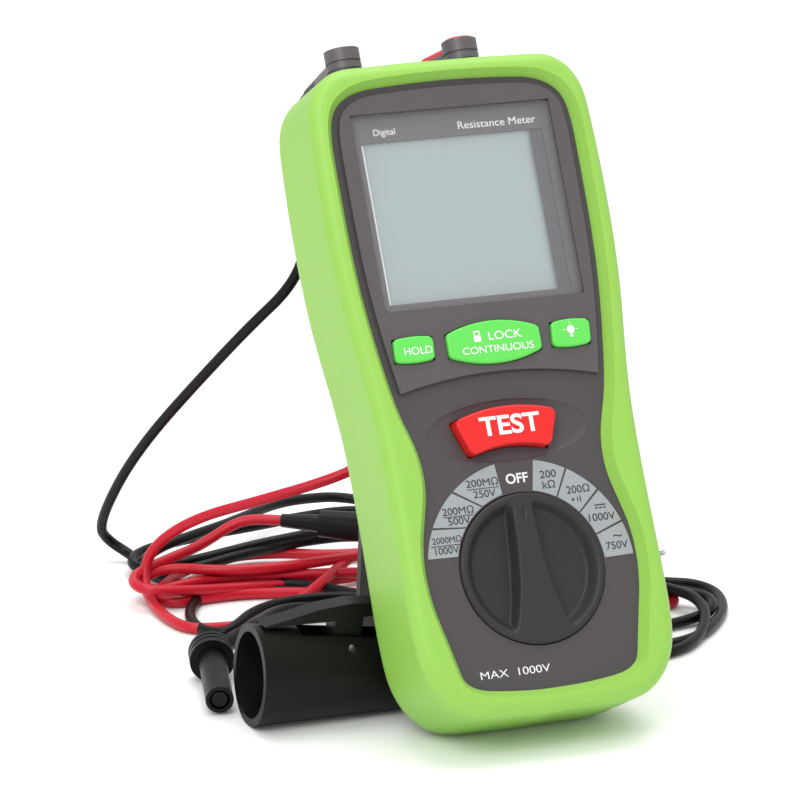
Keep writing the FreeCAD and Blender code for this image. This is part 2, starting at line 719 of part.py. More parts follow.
# Both edges of each label, in degrees from straight up, and how far each turns at the knob.
LABEL_EDGES = [(-78.9, 4.0, -63.2, 10.2), (-62.0, 10.2, -40.2, 8.0), (-38.9, 8.0, -10.8, -2.3),
               (11.1, 0, 29.0, 0.6), (30.2, 0.6, 49.4, 0.6), (50.6, 0.6, 70.0, 0),
               (71.2, 0, 88.7, 0)]


def make_range_labels():
    """Seven thin printed plates round the knob, one for each range."""
    plates = []
    for i, (start, first, end, last) in enumerate(LABEL_EDGES):
        sketch = sector_sketch("label_%d" % i, size("knob_radius") + 0.8, size("label_radius"),
                               start, end, "0", first, last)
        plates.append(extrude("range_label_%d" % i, sketch, "0.15"))
    sub_part(group("range_labels", *plates), "range_labels")


# ------------------------------------------------------------- electronics

def make_board():
    """Circuit board, cut to the case's outline, with holes for the bosses."""
    grow = -size("boot_wall") - size("case_gap") - size("case_wall") - 0.8
    blank = outline_solid("board_blank", BOOT_SIDE, grow,
                          "-sizes.board_front - sizes.board_thick", "sizes.board_thick")
    region = block("board_region", ("-50", "7", "-20"), "100", "170", "20")
    holes = boss_rods("board_hole", "-20", "20", "sizes.boss_radius + 0.4")
    board = cut("main_board", common("board_trim", blank, region), *holes)
    sub_part(board, "main_board")


def make_components():
    """What makes and measures the test voltage, behind the upper board."""
    back = "-sizes.board_front - sizes.board_thick"
    core = block("core_blank", ("-31", "131", back + " - 14"), "22", "18", "14")
    coil = block("coil_block", ("-27", "128.5", back + " - 12"), "14", "23", "10")
    sub_part(fuse("hv_transformer", core, coil), "hv_transformer")
    sub_part(block("hv_relay_blank", ("-4", "131", back + " - 11"), "10", "20", "11"), "hv_relay")
    can = rod("capacitor_can", ("18", "131", back + " - 6"), "5", "20", "y")
    sub_part(can, "storage_capacitor")
    disc = rod("buzzer_disc", ("24", "158", back + " - 5"), "6.5", "5")
    sound = rod("buzzer_port", ("24", "158", back + " - 6"), "1", "3")
    sub_part(cut("piezo_buzzer", disc, sound), "piezo_buzzer")
    tube = rod("fuse_tube", ("-28", "160", back + " - 4.2"), "3.1", "32", "x")
    sub_part(tube, "fuse")
    clips = []
    for i, x in enumerate((-28, -1.5)):
        holder = block("fuse_holder_%d" % i, (x, "155.6", back + " - 6"), "5.5", "8.8", "6")
        seat = rod("fuse_seat_%d" % i, (x - 1, "160", back + " - 4.2"), "3.1", "8", "x")
        slot = block("fuse_slot_%d" % i, (x - 1, "157.8", back + " - 7"), "8", "4.4", "3.5")
        clips.append(cut("fuse_clip_%d" % i, holder, seat, slot))
    sub_part(group("fuse_clips", *clips), "fuse_clips")


SOCKETS = (-1, 0, 1)


def make_terminals():
    """Terminal block with three shrouded wells, and a brass contact in each."""
    body = block("terminal_blank", ("sizes.socket_shift - 28", "174", "-sizes.socket_depth - 5.9"), "56",
                 "sizes.terminal_end - 174", "11.8")
    wells, floors, contacts = [], [], []
    for i, step in enumerate(SOCKETS):
        x = "sizes.socket_shift + %d * sizes.socket_pitch" % step
        z = "-sizes.socket_depth"
        wells.append(rod("well_%d" % i, (x, "sizes.well_floor", z), "sizes.well_radius", "30", "y"))
        floors.append(rod("well_hole_%d" % i, (x, "170", z), "sizes.contact_outer", "10", "y"))
        tube = rod("contact_tube_%d" % i, (x, "172", z), "sizes.contact_outer",
                   "sizes.terminal_end - 174", "y")
        bore = rod("contact_bore_%d" % i, (x, "sizes.well_floor", z), "sizes.contact_inner",
                   "30", "y")
        contacts.append(cut("contact_%d" % i, tube, bore))
    sub_part(cut("terminal_block", body, *wells, *floors), "terminal_block")
    sub_part(group("socket_contacts", *contacts), "socket_contacts")


# --------------------------------------------------------------- batteries

ROWS = ("sizes.tray_low + 3.4", "sizes.tray_low + 57.6")


def make_batteries():
    """Tray, six cells, their springs and plates, the door and its two screws."""
    tray = plate_body("tray_shell", "sizes.tray_width", "sizes.tray_low", "sizes.tray_length",
                      "-27.6", "16.4")
    pocket_in(tray, "tray_hollow", "sizes.tray_width - 2.6", "sizes.tray_low + 1.3",
              "sizes.tray_length - 2.6", "-12.4", "20")
    cells, contacts = [], []
    for row, low in enumerate(ROWS):
        for column in (-1, 0, 1):
            tag = "%d_%d" % (row, column + 1)
            x = "%d * sizes.cell_pitch" % column
            can = rod("cell_can_" + tag, (x, low, "-sizes.cell_depth"), "sizes.cell_radius",
                      "sizes.cell_length", "y")
            nub = rod("cell_nub_" + tag, (x, "%s + sizes.cell_length" % low,
                                          "-sizes.cell_depth"), "2.6", "1.2", "y")
            cells.append(fuse("cell_" + tag, can, nub))
            wide = cone("spring_" + tag, (x, "%s - 2" % low, "-sizes.cell_depth"), "4.4", "2.2",
                        "1.95", "y")
            contacts.append(wide)
            contacts.append(block("tab_" + tag, ("%s - 4" % x, "%s + sizes.cell_length + 1.3" % low,
                                                 "-sizes.cell_depth - 4"), "8", "0.5", "8"))
    sub_part(group("battery_cells", *cells), "battery_cells")
    sub_part(group("battery_contacts", *contacts), "battery_contacts")
    lug = block("lug_block", ("-21", "sizes.tray_low + sizes.tray_length", "-27.6"), "42", "6", "7")
    lug_holes = [rod("lug_hole_%d" % i, (x, "sizes.door_low + sizes.door_length - 3.4", "-29"),
                     "1.3", "12") for i, x in enumerate((-17, 17))]
    sub_part(fuse("battery_tray_whole", tray, cut("door_lug", lug, *lug_holes)), "battery_tray")
    door = plate_body("door_plate", "sizes.door_width", "sizes.door_low", "sizes.door_length",
                      "-sizes.case_back", "2.1", 2.0)
    door_holes = [rod("door_hole_%d" % i, (x, "sizes.door_low + sizes.door_length - 3.4", "-31"),
                      "1.4", "5") for i, x in enumerate((-17, 17))]
    door_heads = [rod("door_sink_%d" % i, (x, "sizes.door_low + sizes.door_length - 3.4", "-31"),
                      "2.6", "2.2") for i, x in enumerate((-17, 17))]
    sub_part(cut("battery_door_drilled", door, *door_holes, *door_heads), "battery_door")
    screws = []
    for i, x in enumerate((-17, 17)):
        y = "sizes.door_low + sizes.door_length - 3.4"
        head = rod("door_head_%d" % i, (x, y, "-29.9"), "2.4", "1.1")
        shank = rod("door_shank_%d" % i, (x, y, "-29.5"), "1.2", "8")
        cross = block("door_cross_%d" % i, (x - 1.5, "%s - 0.3" % y, "-30.2"), "3", "0.6", "0.9")
        screws.append(cut("door_screw_%d" % i, fuse("door_screw_blank_%d" % i, head, shank), cross))
    sub_part(group("door_screws", *screws), "door_screws")


# -------------------------------------------------------------- tilt stand

def make_stand():
    """Plate with a hinge barrel and a rubber foot, on a steel pin."""
    opened = stand_placement()
    plate = plate_body("stand_plate", "sizes.stand_width", "sizes.stand_low",
                       "sizes.stand_pivot - sizes.stand_low",
                       "-sizes.stand_depth - 1.7", "sizes.stand_thick", None)
    pocket_in(plate, "stand_relief", "sizes.stand_width - 14", "sizes.stand_low + 16", "82",
              "-sizes.stand_depth - 0.3", "3")
    barrel = rod("stand_barrel_rod", ("-sizes.stand_width / 2", "sizes.stand_pivot",
                                      "-sizes.stand_depth"),
                 "sizes.stand_barrel", "sizes.stand_width", "x")
    bore = rod("stand_bore", ("-sizes.stand_width / 2 - 1", "sizes.stand_pivot",
                              "-sizes.stand_depth"),
               "sizes.stand_pin + 0.06", "sizes.stand_width + 2", "x")
    swinging = cut("tilt_stand", fuse("stand_blank", plate, barrel), bore)
    sub_part(swinging, "tilt_stand", opened)
    foot = block("stand_foot_blank", ("-sizes.stand_width / 2 + 2", "sizes.stand_low - 2.4",
                                      "-sizes.stand_depth - 1.7"),
                 "sizes.stand_width - 4", "2.4", "sizes.stand_thick")
    floor_side = block("foot_trim", ("-40", "0", "-60"), "80", "1", "60")
    DOC.recompute()
    floor_side.Placement = opened.inverse().multiply(
        Placement(Vector(size("origin_x") - 40, size("origin_y") + 60, -20.0), Rotation()))
    for name in ("Placement.Base.x", "Placement.Base.y", "Placement.Base.z"):
        floor_side.setExpression(name, None)
    bind(floor_side, Length=80, Width=90, Height=20.0)
    sub_part(cut("stand_foot", foot, floor_side), "stand_foot", opened)
    pin = rod("stand_pin_rod", ("-sizes.stand_width / 2 - 5", "sizes.stand_pivot",
                                "-sizes.stand_depth"),
              "sizes.stand_pin", "sizes.stand_width + 10", "x")
    sub_part(pin, "stand_pin")


# ------------------------------------------------------------------- plugs

# How each top plug's arm points, in degrees, and how far its strain relief reaches.
PLUG_ARMS = {"black": (181.0, 31.0), "red": (205.0, 26.0)}


def lead_exit(prefix, step):
    """Where a top plug's lead leaves its strain relief, and the way it heads, in floor terms."""
    turn, reach = PLUG_ARMS[prefix]
    way = Rotation(Vector(0, 1, 0), turn).multVec(Vector(0, 0, 1))
    centre = Vector(size("socket_shift") + step * size("socket_pitch"),
                    size("plug_seat") + 4.4, -size("socket_depth"))
    to_floor = ON_FLOOR.inverse().multiply(LEANING)
    return to_floor.multVec(centre + way * reach), to_floor.Rotation.multVec(way)


def make_top_plug(prefix, step):
    """A right-angle shrouded plug in an input socket, its lead leaving behind the boot."""
    turn, reach = PLUG_ARMS[prefix]
    turned = Rotation(Vector(0, 1, 0), turn)
    x = "sizes.socket_shift + %d * sizes.socket_pitch" % step
    z = "-sizes.socket_depth"
    head = rod(prefix + "_head", (x, "sizes.plug_seat", z), "sizes.plug_radius",
               "sizes.plug_head", "y")
    arm = cone(prefix + "_arm", (x, "sizes.plug_seat + 4.4", z), "4.0", "2.9", "19", turned)
    shroud = rod(prefix + "_shroud", (x, "sizes.plug_seat - 19", z), "sizes.shroud_outer",
                 "19.5", "y")
    hollow = rod(prefix + "_hollow", (x, "sizes.plug_seat - 20", z), "sizes.shroud_inner",
                 "20", "y")
    socket = rod(prefix + "_pin_hole", (x, "sizes.plug_seat - 1", z), "sizes.pin_radius", "4", "y")
    ribs = []
    for i in range(2):
        outer = rod("%s_rib_%d" % (prefix, i), (x, "sizes.plug_seat + %.1f" % (2.2 + 2.6 * i), z),
                    "sizes.plug_radius + 1", "0.7", "y")
        inner = rod("%s_rib_core_%d" % (prefix, i), (x, "sizes.plug_seat + %.1f" % (1.2 + 2.6 * i),
                                                     z), "sizes.plug_radius - 0.45", "3", "y")
        ribs.append(cut("%s_groove_%d" % (prefix, i), outer, inner))
    body = cut(prefix + "_grooved", fuse(prefix + "_blank", head, shroud), *ribs)
    body = cut(prefix + "_plug", fuse(prefix + "_joined", body, arm), hollow, socket)
    sub_part(body, prefix + "_plug")
    pin = rod(prefix + "_pin_rod", (x, "sizes.plug_seat - 18", z), "sizes.pin_radius", "21", "y")
    sub_part(pin, prefix + "_plug_pin")
    relief = cone(prefix + "_relief_whole", (x, "sizes.plug_seat + 4.4", z), "3.98", "2.2",
                  str(reach), turned)
    inside = rod(prefix + "_relief_inside", (x, "sizes.plug_seat + 4.4", z), "6", "19", turned)
    sub_part(cut(prefix + "_relief", relief, inside), prefix + "_strain_relief")


def axis_placement(start, end):
    """A frame on the floor whose x axis runs from start to end."""
    along = (end - start).normalize()
    return ON_FLOOR.multiply(Placement(start, Rotation(Vector(1, 0, 0), along)))


PLUG_FLANGE = Vector(-72.0, 103, 7.5)
PLUG_NOSE = Vector(-81.6, 69, 5.0)
PLUG_WAY = Vector(0.78, 0.60, 0.17).normalize()


def make_far_plug():
    """The straight shrouded plug at the loose end of the black lead."""
    placed = axis_placement(PLUG_FLANGE, PLUG_NOSE)
    flange = rod("far_flange", ("-4", "0", "0"), "sizes.far_flange", "7.6", "x")
    turned = Rotation(Vector(0, 0, 1), placed.Rotation.inverted().multVec(PLUG_WAY))
    arm = cone("far_arm", ("0", "0", "0"), "3.5", "2.8", "10", turned)
    relief = cone("far_relief", ("0", "0", "0"), "3.3", "2.1", "16", turned)
    shroud = rod("far_shroud", ("3", "0", "0"), "sizes.shroud_outer", "31", "x")
    hollow = rod("far_hollow", ("8", "0", "0"), "sizes.shroud_inner", "27", "x")
    ribs = []
    for i in range(2):
        outer = rod("far_rib_%d" % i, (-2.4 + 2.6 * i, "0", "0"), "sizes.far_flange + 1", "0.8", "x")
        inner = rod("far_rib_core_%d" % i, (-3.4 + 2.6 * i, "0", "0"), "sizes.far_flange - 0.6", "3",
                    "x")
        ribs.append(cut("far_groove_%d" % i, outer, inner))
    pin_hole = rod("far_pin_hole", ("4", "0", "0"), "sizes.pin_radius", "6", "x")
    ribbed = cut("far_ribbed", flange, *ribs)
    blank = fuse("far_fused", ribbed, arm, relief, shroud)
    sub_part(cut("black_far_plug", blank, hollow, pin_hole), "black_far_plug", placed)
    pin = rod("far_pin_rod", ("5", "0", "0"), "sizes.pin_radius", "27.5", "x")
    sub_part(pin, "black_far_pin", placed)


# ------------------------------------------------------------- probe, clip

PROBE_NOSE = Vector(83.2, 109.8, 21.0)
PROBE_BACK = Vector(-7.6, 175.6, 22.2)


def make_probe():
    """Test probe, lying across the hank: handle with a finger guard, steel tip."""
    placed = axis_placement(PROBE_BACK, PROBE_NOSE)
    whole = (PROBE_NOSE - PROBE_BACK).Length
    handle = cone("probe_rear", ("0", "0", "0"), "4.4", "5.6", "30", "x")
    front = cone("probe_front", ("30", "0", "0"), "5.6", "4.6", "sizes.probe_length - 30", "x")
    guard = rod("probe_guard_disc", ("sizes.probe_length - 12", "0", "0"), "sizes.probe_guard",
                "2.6", "x")
    nose = cone("probe_nose", ("sizes.probe_length", "0", "0"), "3.4", "1.9",
                "%.2f - sizes.probe_length" % whole, "x")
    bore = rod("probe_bore", ("sizes.probe_length", "0", "0"), "1.1", "60", "x")
    sub_part(cut("probe_blank", fuse("probe_fused", handle, front, guard, nose), bore),
             "probe_handle", placed)
    shank = rod("probe_shank", ("sizes.probe_length", "0", "0"), "1.1",
                "%.2f - sizes.probe_length" % (whole + 1.4), "x")
    point = cone("probe_point", ("%.2f" % (whole + 1.4), "0", "0"), "1.1", "0.3", "1.2", "x")
    sub_part(fuse("probe_tip", shank, point), "probe_tip", placed)
    relief = cone("probe_relief", ("-13", "0", "0"), "2.2", "3.0", "13", "x")
    sub_part(relief, "probe_strain_relief", placed)


CLIP_MOUTH = Vector(-75.4, 59.8, 0)


def clip_placement():
    """The barrel lies on the floor along a line of its cone, mouth to the left."""
    slope = math.asin((size("clip_mouth") - size("clip_tail")) / size("clip_length"))
    turn = Rotation(Vector(0, 0, 1), -2.2).multiply(Rotation(Vector(0, 1, 0), math.degrees(slope)))
    rise = size("clip_mouth") * math.cos(slope) + 0.1
    return ON_FLOOR.multiply(Placement(CLIP_MOUTH + Vector(0, 0, rise), turn))


PIVOT_ALONG = 29.0
PIVOT_UP = 9.6


def profile_sketch(name, corners, side):
    """A closed polygon in the plane of x and z, at a given y."""
    curves = [Part.LineSegment(Vector(*corners[i]), Vector(*corners[(i + 1) % len(corners)]))
              for i in range(len(corners))]
    sketch = DOC.addObject("Sketcher::SketchObject", name)
    sketch.addGeometry(curves, False)
    sketch.Placement = Placement(Vector(0, side, 0), Rotation(Vector(1, 0, 0), 90))
    return sketch


def make_clip():
    """Shrouded crocodile clip: barrel, fixed jaw, sprung lever with the moving jaw."""
    placed = clip_placement()
    outer = cone("clip_outer", ("0", "0", "0"), "sizes.clip_mouth", "sizes.clip_tail",
                 "sizes.clip_length", "x")
    hollow = cone("clip_inner", ("-0.1", "0", "0"), "sizes.clip_mouth - sizes.clip_wall",
                  "sizes.clip_tail - sizes.clip_wall + 1", "sizes.clip_hollow", "x")
    slot = block("clip_slot", ("14", "-5.6", "2"), "28", "11.2", "20")
    seat = rod("clip_seat", ("sizes.clip_hollow - 1", "0", "-4"), "3.4", "30", "x")
    pin_hole = rod("clip_pin_hole", (PIVOT_ALONG, "-20", PIVOT_UP), "1.22", "40", "y")
    jaw_slot = block("clip_jaw_slot", ("sizes.clip_hollow - 3", "-3", "-2.6"), "7", "6", "2.2")
    sub_part(cut("clip_barrel", outer, hollow, slot, seat, pin_hole, jaw_slot), "clip_barrel", placed)
    socket = rod("clip_socket_outer", ("sizes.clip_hollow + 3.2", "0", "-4"), "3.4",
                 "sizes.clip_length - sizes.clip_hollow - 3.2", "x")
    socket_bore = rod("clip_socket_bore", ("sizes.clip_hollow + 4.2", "0", "-4"),
                      "sizes.contact_inner", "30", "x")
    fixed = block("clip_fixed_blank", ("13", "-2.8", "-2.4"), "18", "5.6", "1.8")
    post = block("clip_fixed_post", ("sizes.clip_hollow - 2", "-2.8", "-2.4"), "5.4", "5.6", "1.8")
    sub_part(fuse("clip_fixed_jaw", cut("clip_socket", socket, socket_bore), fixed, post),
             "clip_fixed_jaw", placed)
    side_profile = [(2.5, 16.2), (9, 17.9), (20, 20.9), (30, 22.4), (45, 22.0), (45, 18.6),
                    (34, 18.0), (33, 7.0), (31, 5.8), (31, 0.6), (13, -0.2), (13, 2.4),
                    (24.5, 4.4), (25, 17.0), (16, 16.6), (3.0, 15.75)]
    lever_sketch = profile_sketch("lever_profile", [(x, z, 0) for x, z in side_profile], 4.0)
    lever = DOC.addObject("Part::Extrusion", "lever_blank")
    lever.Base = lever_sketch
    lever.DirMode = "Custom"
    lever.Dir = Vector(0, -1, 0)
    lever.Solid = True
    bind(lever, LengthFwd="8")
    eye = rod("lever_eye", (PIVOT_ALONG, "-10", PIVOT_UP), "1.26", "20", "y")
    sub_part(cut("clip_lever", lever, eye), "clip_lever", placed)
    sub_part(rod("clip_pin_rod", (PIVOT_ALONG, "-7.4", PIVOT_UP), "1.2", "14.8", "y"),
             "clip_pin", placed)
    coil = rod("spring_coil", (PIVOT_ALONG, "4.15", PIVOT_UP), "2.6", "1.3", "y")
    core = rod("spring_core", (PIVOT_ALONG, "4", PIVOT_UP), "1.3", "2", "y")
    sub_part(cut("clip_spring", coil, core), "clip_spring", placed)


# ------------------------------------------------------------------- leads

# Routes on the floor frame, hand-placed: the black lead's drop from its plug to
# the floor, and the red lead's.
BLACK_DROP = [(-22.0, 157.0, 157.0), (-19.5, 158.0, 140.0), (-19.0, 155.5, 123.0),
              (-24.3, 154.8, 109.3), (-35.4, 167.0, 93.2), (-47.4, 184.0, 71.4),
              (-57.0, 199.5, 52.0), (-63.6, 212.5, 34.0), (-66.9, 226.3, 13.8),
              (-62.6, 229.8, 7.2), (-55.2, 230.9, 3.2), (-44.5, 228.7, 3.0)]
RED_DROP = [(-1.5, 150.0, 160.0), (-1.0, 152.0, 140.0), (1.0, 152.5, 115.0),
            (2.0, 152.0, 91.0), (-1.5, 150.5, 68.0), (-6.0, 151.0, 52.5),
            (-14.5, 153.5, 44.5), (-32.0, 164.0, 36.4), (-50.0, 179.0, 28.0),
              (-61.0, 189.0, 15.5), (-62.5, 189.0, 4.0)]
BLACK_TAIL = [(-46.0, 129.0, 8.0)]
RED_TAIL = [(-36.0, 191.0, 15.0), (-43.0, 188.5, 6.5)]

HANK_EDGE = [(-70, 194), (-69, 168), (-67, 146), (-58, 129), (-36, 126), (-8, 130),
             (24, 122), (42, 92), (58, 58.5), (72, 58), (94, 76), (108, 100), (109, 122),
             (98, 134), (78, 160), (62, 214), (52, 262), (40, 290), (18, 276), (-14, 250),
             (-44, 232), (-62, 214)]


def rounded_route(points, name):
    """Straight runs joined by tangent arcs as large as the runs allow."""
    edges = []
    radii = []
    start = points[0]
    for before, corner, after in zip(points, points[1:], points[2:]):
        into = (corner - before).normalize()
        out = (after - corner).normalize()
        turn = into.getAngle(out)
        reach = 0.45 * min((corner - before).Length, (after - corner).Length)
        radius = reach / math.tan(turn / 2)
        radii.append(radius)
        first = corner - into * reach
        last = corner + out * reach
        inward = (out - into).normalize()
        centre = corner + inward * math.hypot(radius, reach)
        middle = centre - inward * radius
        edges.append(Part.LineSegment(start, first).toShape())
        edges.append(Part.Arc(first, middle, last).toShape())
        start = last
    edges.append(Part.LineSegment(start, points[-1]).toShape())
    print("%s: arc radii %s mm" % (name, ", ".join("%.0f" % r for r in radii)))
    return Part.Wire(edges)


def make_tube(name, points):
    """A plain tube along a rounded route, checked against section times length."""
    path = rounded_route(points, name)
    radius = size("lead_diameter") / 2
    start = points[0]
    heading = points[1] - start
    ring = Part.Wire([Part.Circle(start, heading, radius).toShape()])
    shape = path.makePipeShell([ring], True, False)
    expected = math.pi * radius ** 2 * path.Length
    if abs(shape.Volume - expected) > 0.01 * expected:
        raise ValueError("%s: tube volume %.0f, expected %.0f" % (name, shape.Volume, expected))
    print("%s: %.0f mm long" % (name, path.Length))
    item = DOC.addObject("Part::Feature", name)
    item.Shape = shape
    return sub_part(item, name, ON_FLOOR)


def leaving(spot, way, reach, route):
    """A route that starts at a spot and heads straight along a way first."""
    return [spot, spot + way * reach] + [Vector(*point) for point in route]


def make_leads():
    """Both leads' drops and tails, and one solid for the loose hank between them."""
    make_tube("black_lead_drop", leaving(*lead_exit("black", -1), 8.6, BLACK_DROP))
    make_tube("red_lead_drop", leaving(*lead_exit("red", 1), 11.8, RED_DROP))
    make_tube("black_lead_tail", leaving(PLUG_FLANGE + PLUG_WAY * 16, PLUG_WAY, 8, BLACK_TAIL))
    back = (PROBE_BACK - PROBE_NOSE).normalize()
    make_tube("red_lead_tail", leaving(PROBE_BACK + back * 13, back, 10, RED_TAIL))
    curve = Part.BSplineCurve()
    curve.interpolate([Vector(x, y, 0) for x, y in HANK_EDGE], PeriodicFlag=True)
    sketch = sketch_of("hank_edge", [curve], "0")
    hank = extrude("lead_hank", sketch, "sizes.hank_height")
    sub_part(hank, "lead_hank", ON_FLOOR)


# -------------------------------------------------------------------- build

def build():
    make_boot()
    make_front_case()
    make_rear_case()
    make_case_screws()
    make_display()
    make_keys()
    make_switches()
    make_knob()
    make_wiper()
    make_detent_ring()
    make_range_labels()
    make_board()
    make_components()
    make_terminals()
    make_batteries()
    make_stand()
    for prefix, step in (("black", -1), ("red", 1)):
        make_top_plug(prefix, step)
    make_far_plug()
    make_probe()
    make_clip()
    make_leads()
    DOC.recompute()


def place_sub_parts():
    """Give each sub-part its placement in the row's frame."""
    finished = []
    for item, placement in SUB_PARTS:
        if item.TypeId in ("Part::Box", "Part::Cylinder", "Part::Cone", "Part::Sphere",
                           "Part::Extrusion", "Part::Fillet"):
            label = item.Label
            item.Label = label + "_shape"
            item = group(label, item)
            item.Label = label
        if item.TypeId == "Part::Feature":
            item.Placement = placement.multiply(item.Placement)
        else:
            item.Placement = placement
        finished.append(item)
    DOC.recompute()
    return finished


def check(items):
    """Stop on any failed object, and on any sub-part whose shape isn't sound."""
    for item in DOC.Objects:
        if "Invalid" in item.State or "Error" in item.State:
            raise ValueError("%s failed: %s" % (item.Label, item.State))
    for item in items:
        if item.Shape.isNull() or not item.Shape.isValid() or not item.Shape.Solids:
            raise ValueError(item.Label + " has no sound shape")


def export(items):
    os.makedirs("parts", exist_ok=True)
    for item in items:
        item.Shape.exportStep(os.path.join("parts", item.Label + ".step"))


build()
placed_parts = place_sub_parts()
check(placed_parts)
export(placed_parts)
print(len(placed_parts), "nodes")
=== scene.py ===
"""The looks of a handheld insulation tester on its stand, with its leads."""
import json
import math

import bmesh
import bpy
from bpy.props import FloatProperty, FloatVectorProperty, PointerProperty
from mathutils import Matrix, Vector


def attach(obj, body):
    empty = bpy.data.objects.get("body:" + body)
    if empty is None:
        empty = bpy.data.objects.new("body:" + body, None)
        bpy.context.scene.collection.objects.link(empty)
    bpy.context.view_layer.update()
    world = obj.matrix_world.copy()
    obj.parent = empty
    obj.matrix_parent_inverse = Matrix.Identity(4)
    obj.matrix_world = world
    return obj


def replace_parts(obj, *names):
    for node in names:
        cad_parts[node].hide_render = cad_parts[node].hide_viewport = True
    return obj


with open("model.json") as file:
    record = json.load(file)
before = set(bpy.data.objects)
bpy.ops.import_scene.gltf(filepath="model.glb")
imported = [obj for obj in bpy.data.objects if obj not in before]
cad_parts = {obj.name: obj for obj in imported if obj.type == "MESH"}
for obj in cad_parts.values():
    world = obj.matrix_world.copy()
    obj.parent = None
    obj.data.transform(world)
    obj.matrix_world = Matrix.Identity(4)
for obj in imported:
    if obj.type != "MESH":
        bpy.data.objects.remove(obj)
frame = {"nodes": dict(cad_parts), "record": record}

bl_info = {
    "name": "Insulation tester",
    "version": (1, 0),
    "blender": (4, 5, 0),
    "location": "View3D > Sidebar > Tester",
    "description": "Materials, lettering, leads and studio of a handheld insulation tester",
    "category": "Object",
}

MM = 0.001


# ---------------------------------------------------------------- sizes

class TesterSizes(bpy.types.PropertyGroup):
    """Where the tester stands, in millimetres and degrees."""
    lean: FloatProperty(name="Lean", default=62.4)
    origin: FloatVectorProperty(name="Origin", default=(15.0, -60.15, 13.603))
    knob_y: FloatProperty(name="Knob centre", default=43.5)
    lead: FloatProperty(name="Lead diameter", default=3.5)


class StudioSizes(bpy.types.PropertyGroup):
    """Camera, lens and sky strength, in metres, degrees and millimetres."""
    camera: FloatVectorProperty(name="Camera", default=(-0.5547, -1.33945, 0.5069))
    azimuth: FloatProperty(name="Camera azimuth", default=-22.08)
    drop: FloatProperty(name="Camera drop", default=15.85)
    lens: FloatProperty(name="Lens", default=225.0)
    sky: FloatProperty(name="Sky strength", default=0.9)


def leaning():
    """The matrix from the tester's own frame, in millimetres, to the row's frame."""
    sizes = bpy.context.scene.tester_sizes
    turn = Matrix.Rotation(math.radians(sizes.lean), 4, "X")
    return Matrix.Scale(MM, 4) @ Matrix.Translation(sizes.origin) @ turn


def on_floor(x, y, z):
    """A point of the floor frame, in millimetres, in the row's frame."""
    origin = bpy.context.scene.tester_sizes.origin
    return Vector((x + origin[0], y + origin[1], z)) * MM


# ------------------------------------------------------------- materials

class Value:
    """A shader socket that takes arithmetic, so that a material reads as a formula."""

    def __init__(self, tree, socket):
        self.tree = tree
        self.socket = socket

    def feed(self, socket):
        self.tree.links.new(self.socket, socket)

    def node(self, kind, output, inputs, **settings):
        """Any other node: its inputs by name or index, and its settings."""
        node = self.tree.nodes.new("ShaderNode" + kind)
        for name, value in settings.items():
            setattr(node, name, value)
        for slot, item in inputs.items():
            if isinstance(item, Value):
                item.feed(node.inputs[slot])
            else:
                node.inputs[slot].default_value = item
        return Value(self.tree, node.outputs[output])

    def math(self, operation, other=0.0, clamp=False):
        return self.node("Math", 0, {0: self, 1: other}, operation=operation, use_clamp=clamp)

    def __add__(self, other):
        return self.math("ADD", other)

    def __sub__(self, other):
        return self.math("SUBTRACT", other)

    def __mul__(self, other):
        return self.math("MULTIPLY", other)

    def __gt__(self, other):
        return self.math("GREATER_THAN", other)

    def noise(self, scale, detail=3.0):
        return self.node("TexNoise", 0, {"Vector": self, "Scale": scale, "Detail": detail})

    def mix(self, first, second):
        """A colour between two colours, by this value."""
        return self.node("Mix", 2, {0: self, 6: first, 7: second}, data_type="RGBA")


def rgba(colour):
    return (*colour, 1.0) if len(colour) == 3 else colour


def surface(name, colour, rough=0.5, metal=0.0, coat=0.0, grain=0.0, size=900.0,
            mottle=0.06, wear=0.05, transmit=0.0, subsurface=0.0, alpha=1.0, shine=0.5):
    """A plain material with slight mottling, uneven roughness and a fine grain."""
    material = bpy.data.materials.new(name)
    material.use_nodes = True
    tree = material.node_tree
    shader = tree.nodes["Principled BSDF"]
    place = tree.nodes.new("ShaderNodeTexCoord")
    where = Value(tree, place.outputs["Object"])
    patches = where.noise(38.0)
    base = rgba(colour)
    darker = tuple(c * (1.0 - mottle) for c in base[:3]) + (1.0,)
    lighter = tuple(min(1.0, c * (1.0 + mottle)) for c in base[:3]) + (1.0,)
    patches.mix(darker, lighter).feed(shader.inputs["Base Color"])
    uneven = where.noise(160.0)
    (uneven * (2.0 * wear) + (rough - wear)).feed(shader.inputs["Roughness"])
    shader.inputs["Metallic"].default_value = metal
    shader.inputs["Coat Weight"].default_value = coat
    shader.inputs["Transmission Weight"].default_value = transmit
    shader.inputs["Alpha"].default_value = alpha
    shader.inputs["Specular IOR Level"].default_value = shine
    shader.inputs["Subsurface Weight"].default_value = subsurface
    shader.inputs["Subsurface Scale"].default_value = 0.002
    if grain:
        fine = where.noise(size, 2.0)
        bump = fine.node("Bump", 0, {"Strength": grain, "Distance": 0.0002, "Height": fine})
        bump.feed(shader.inputs["Normal"])
    return material


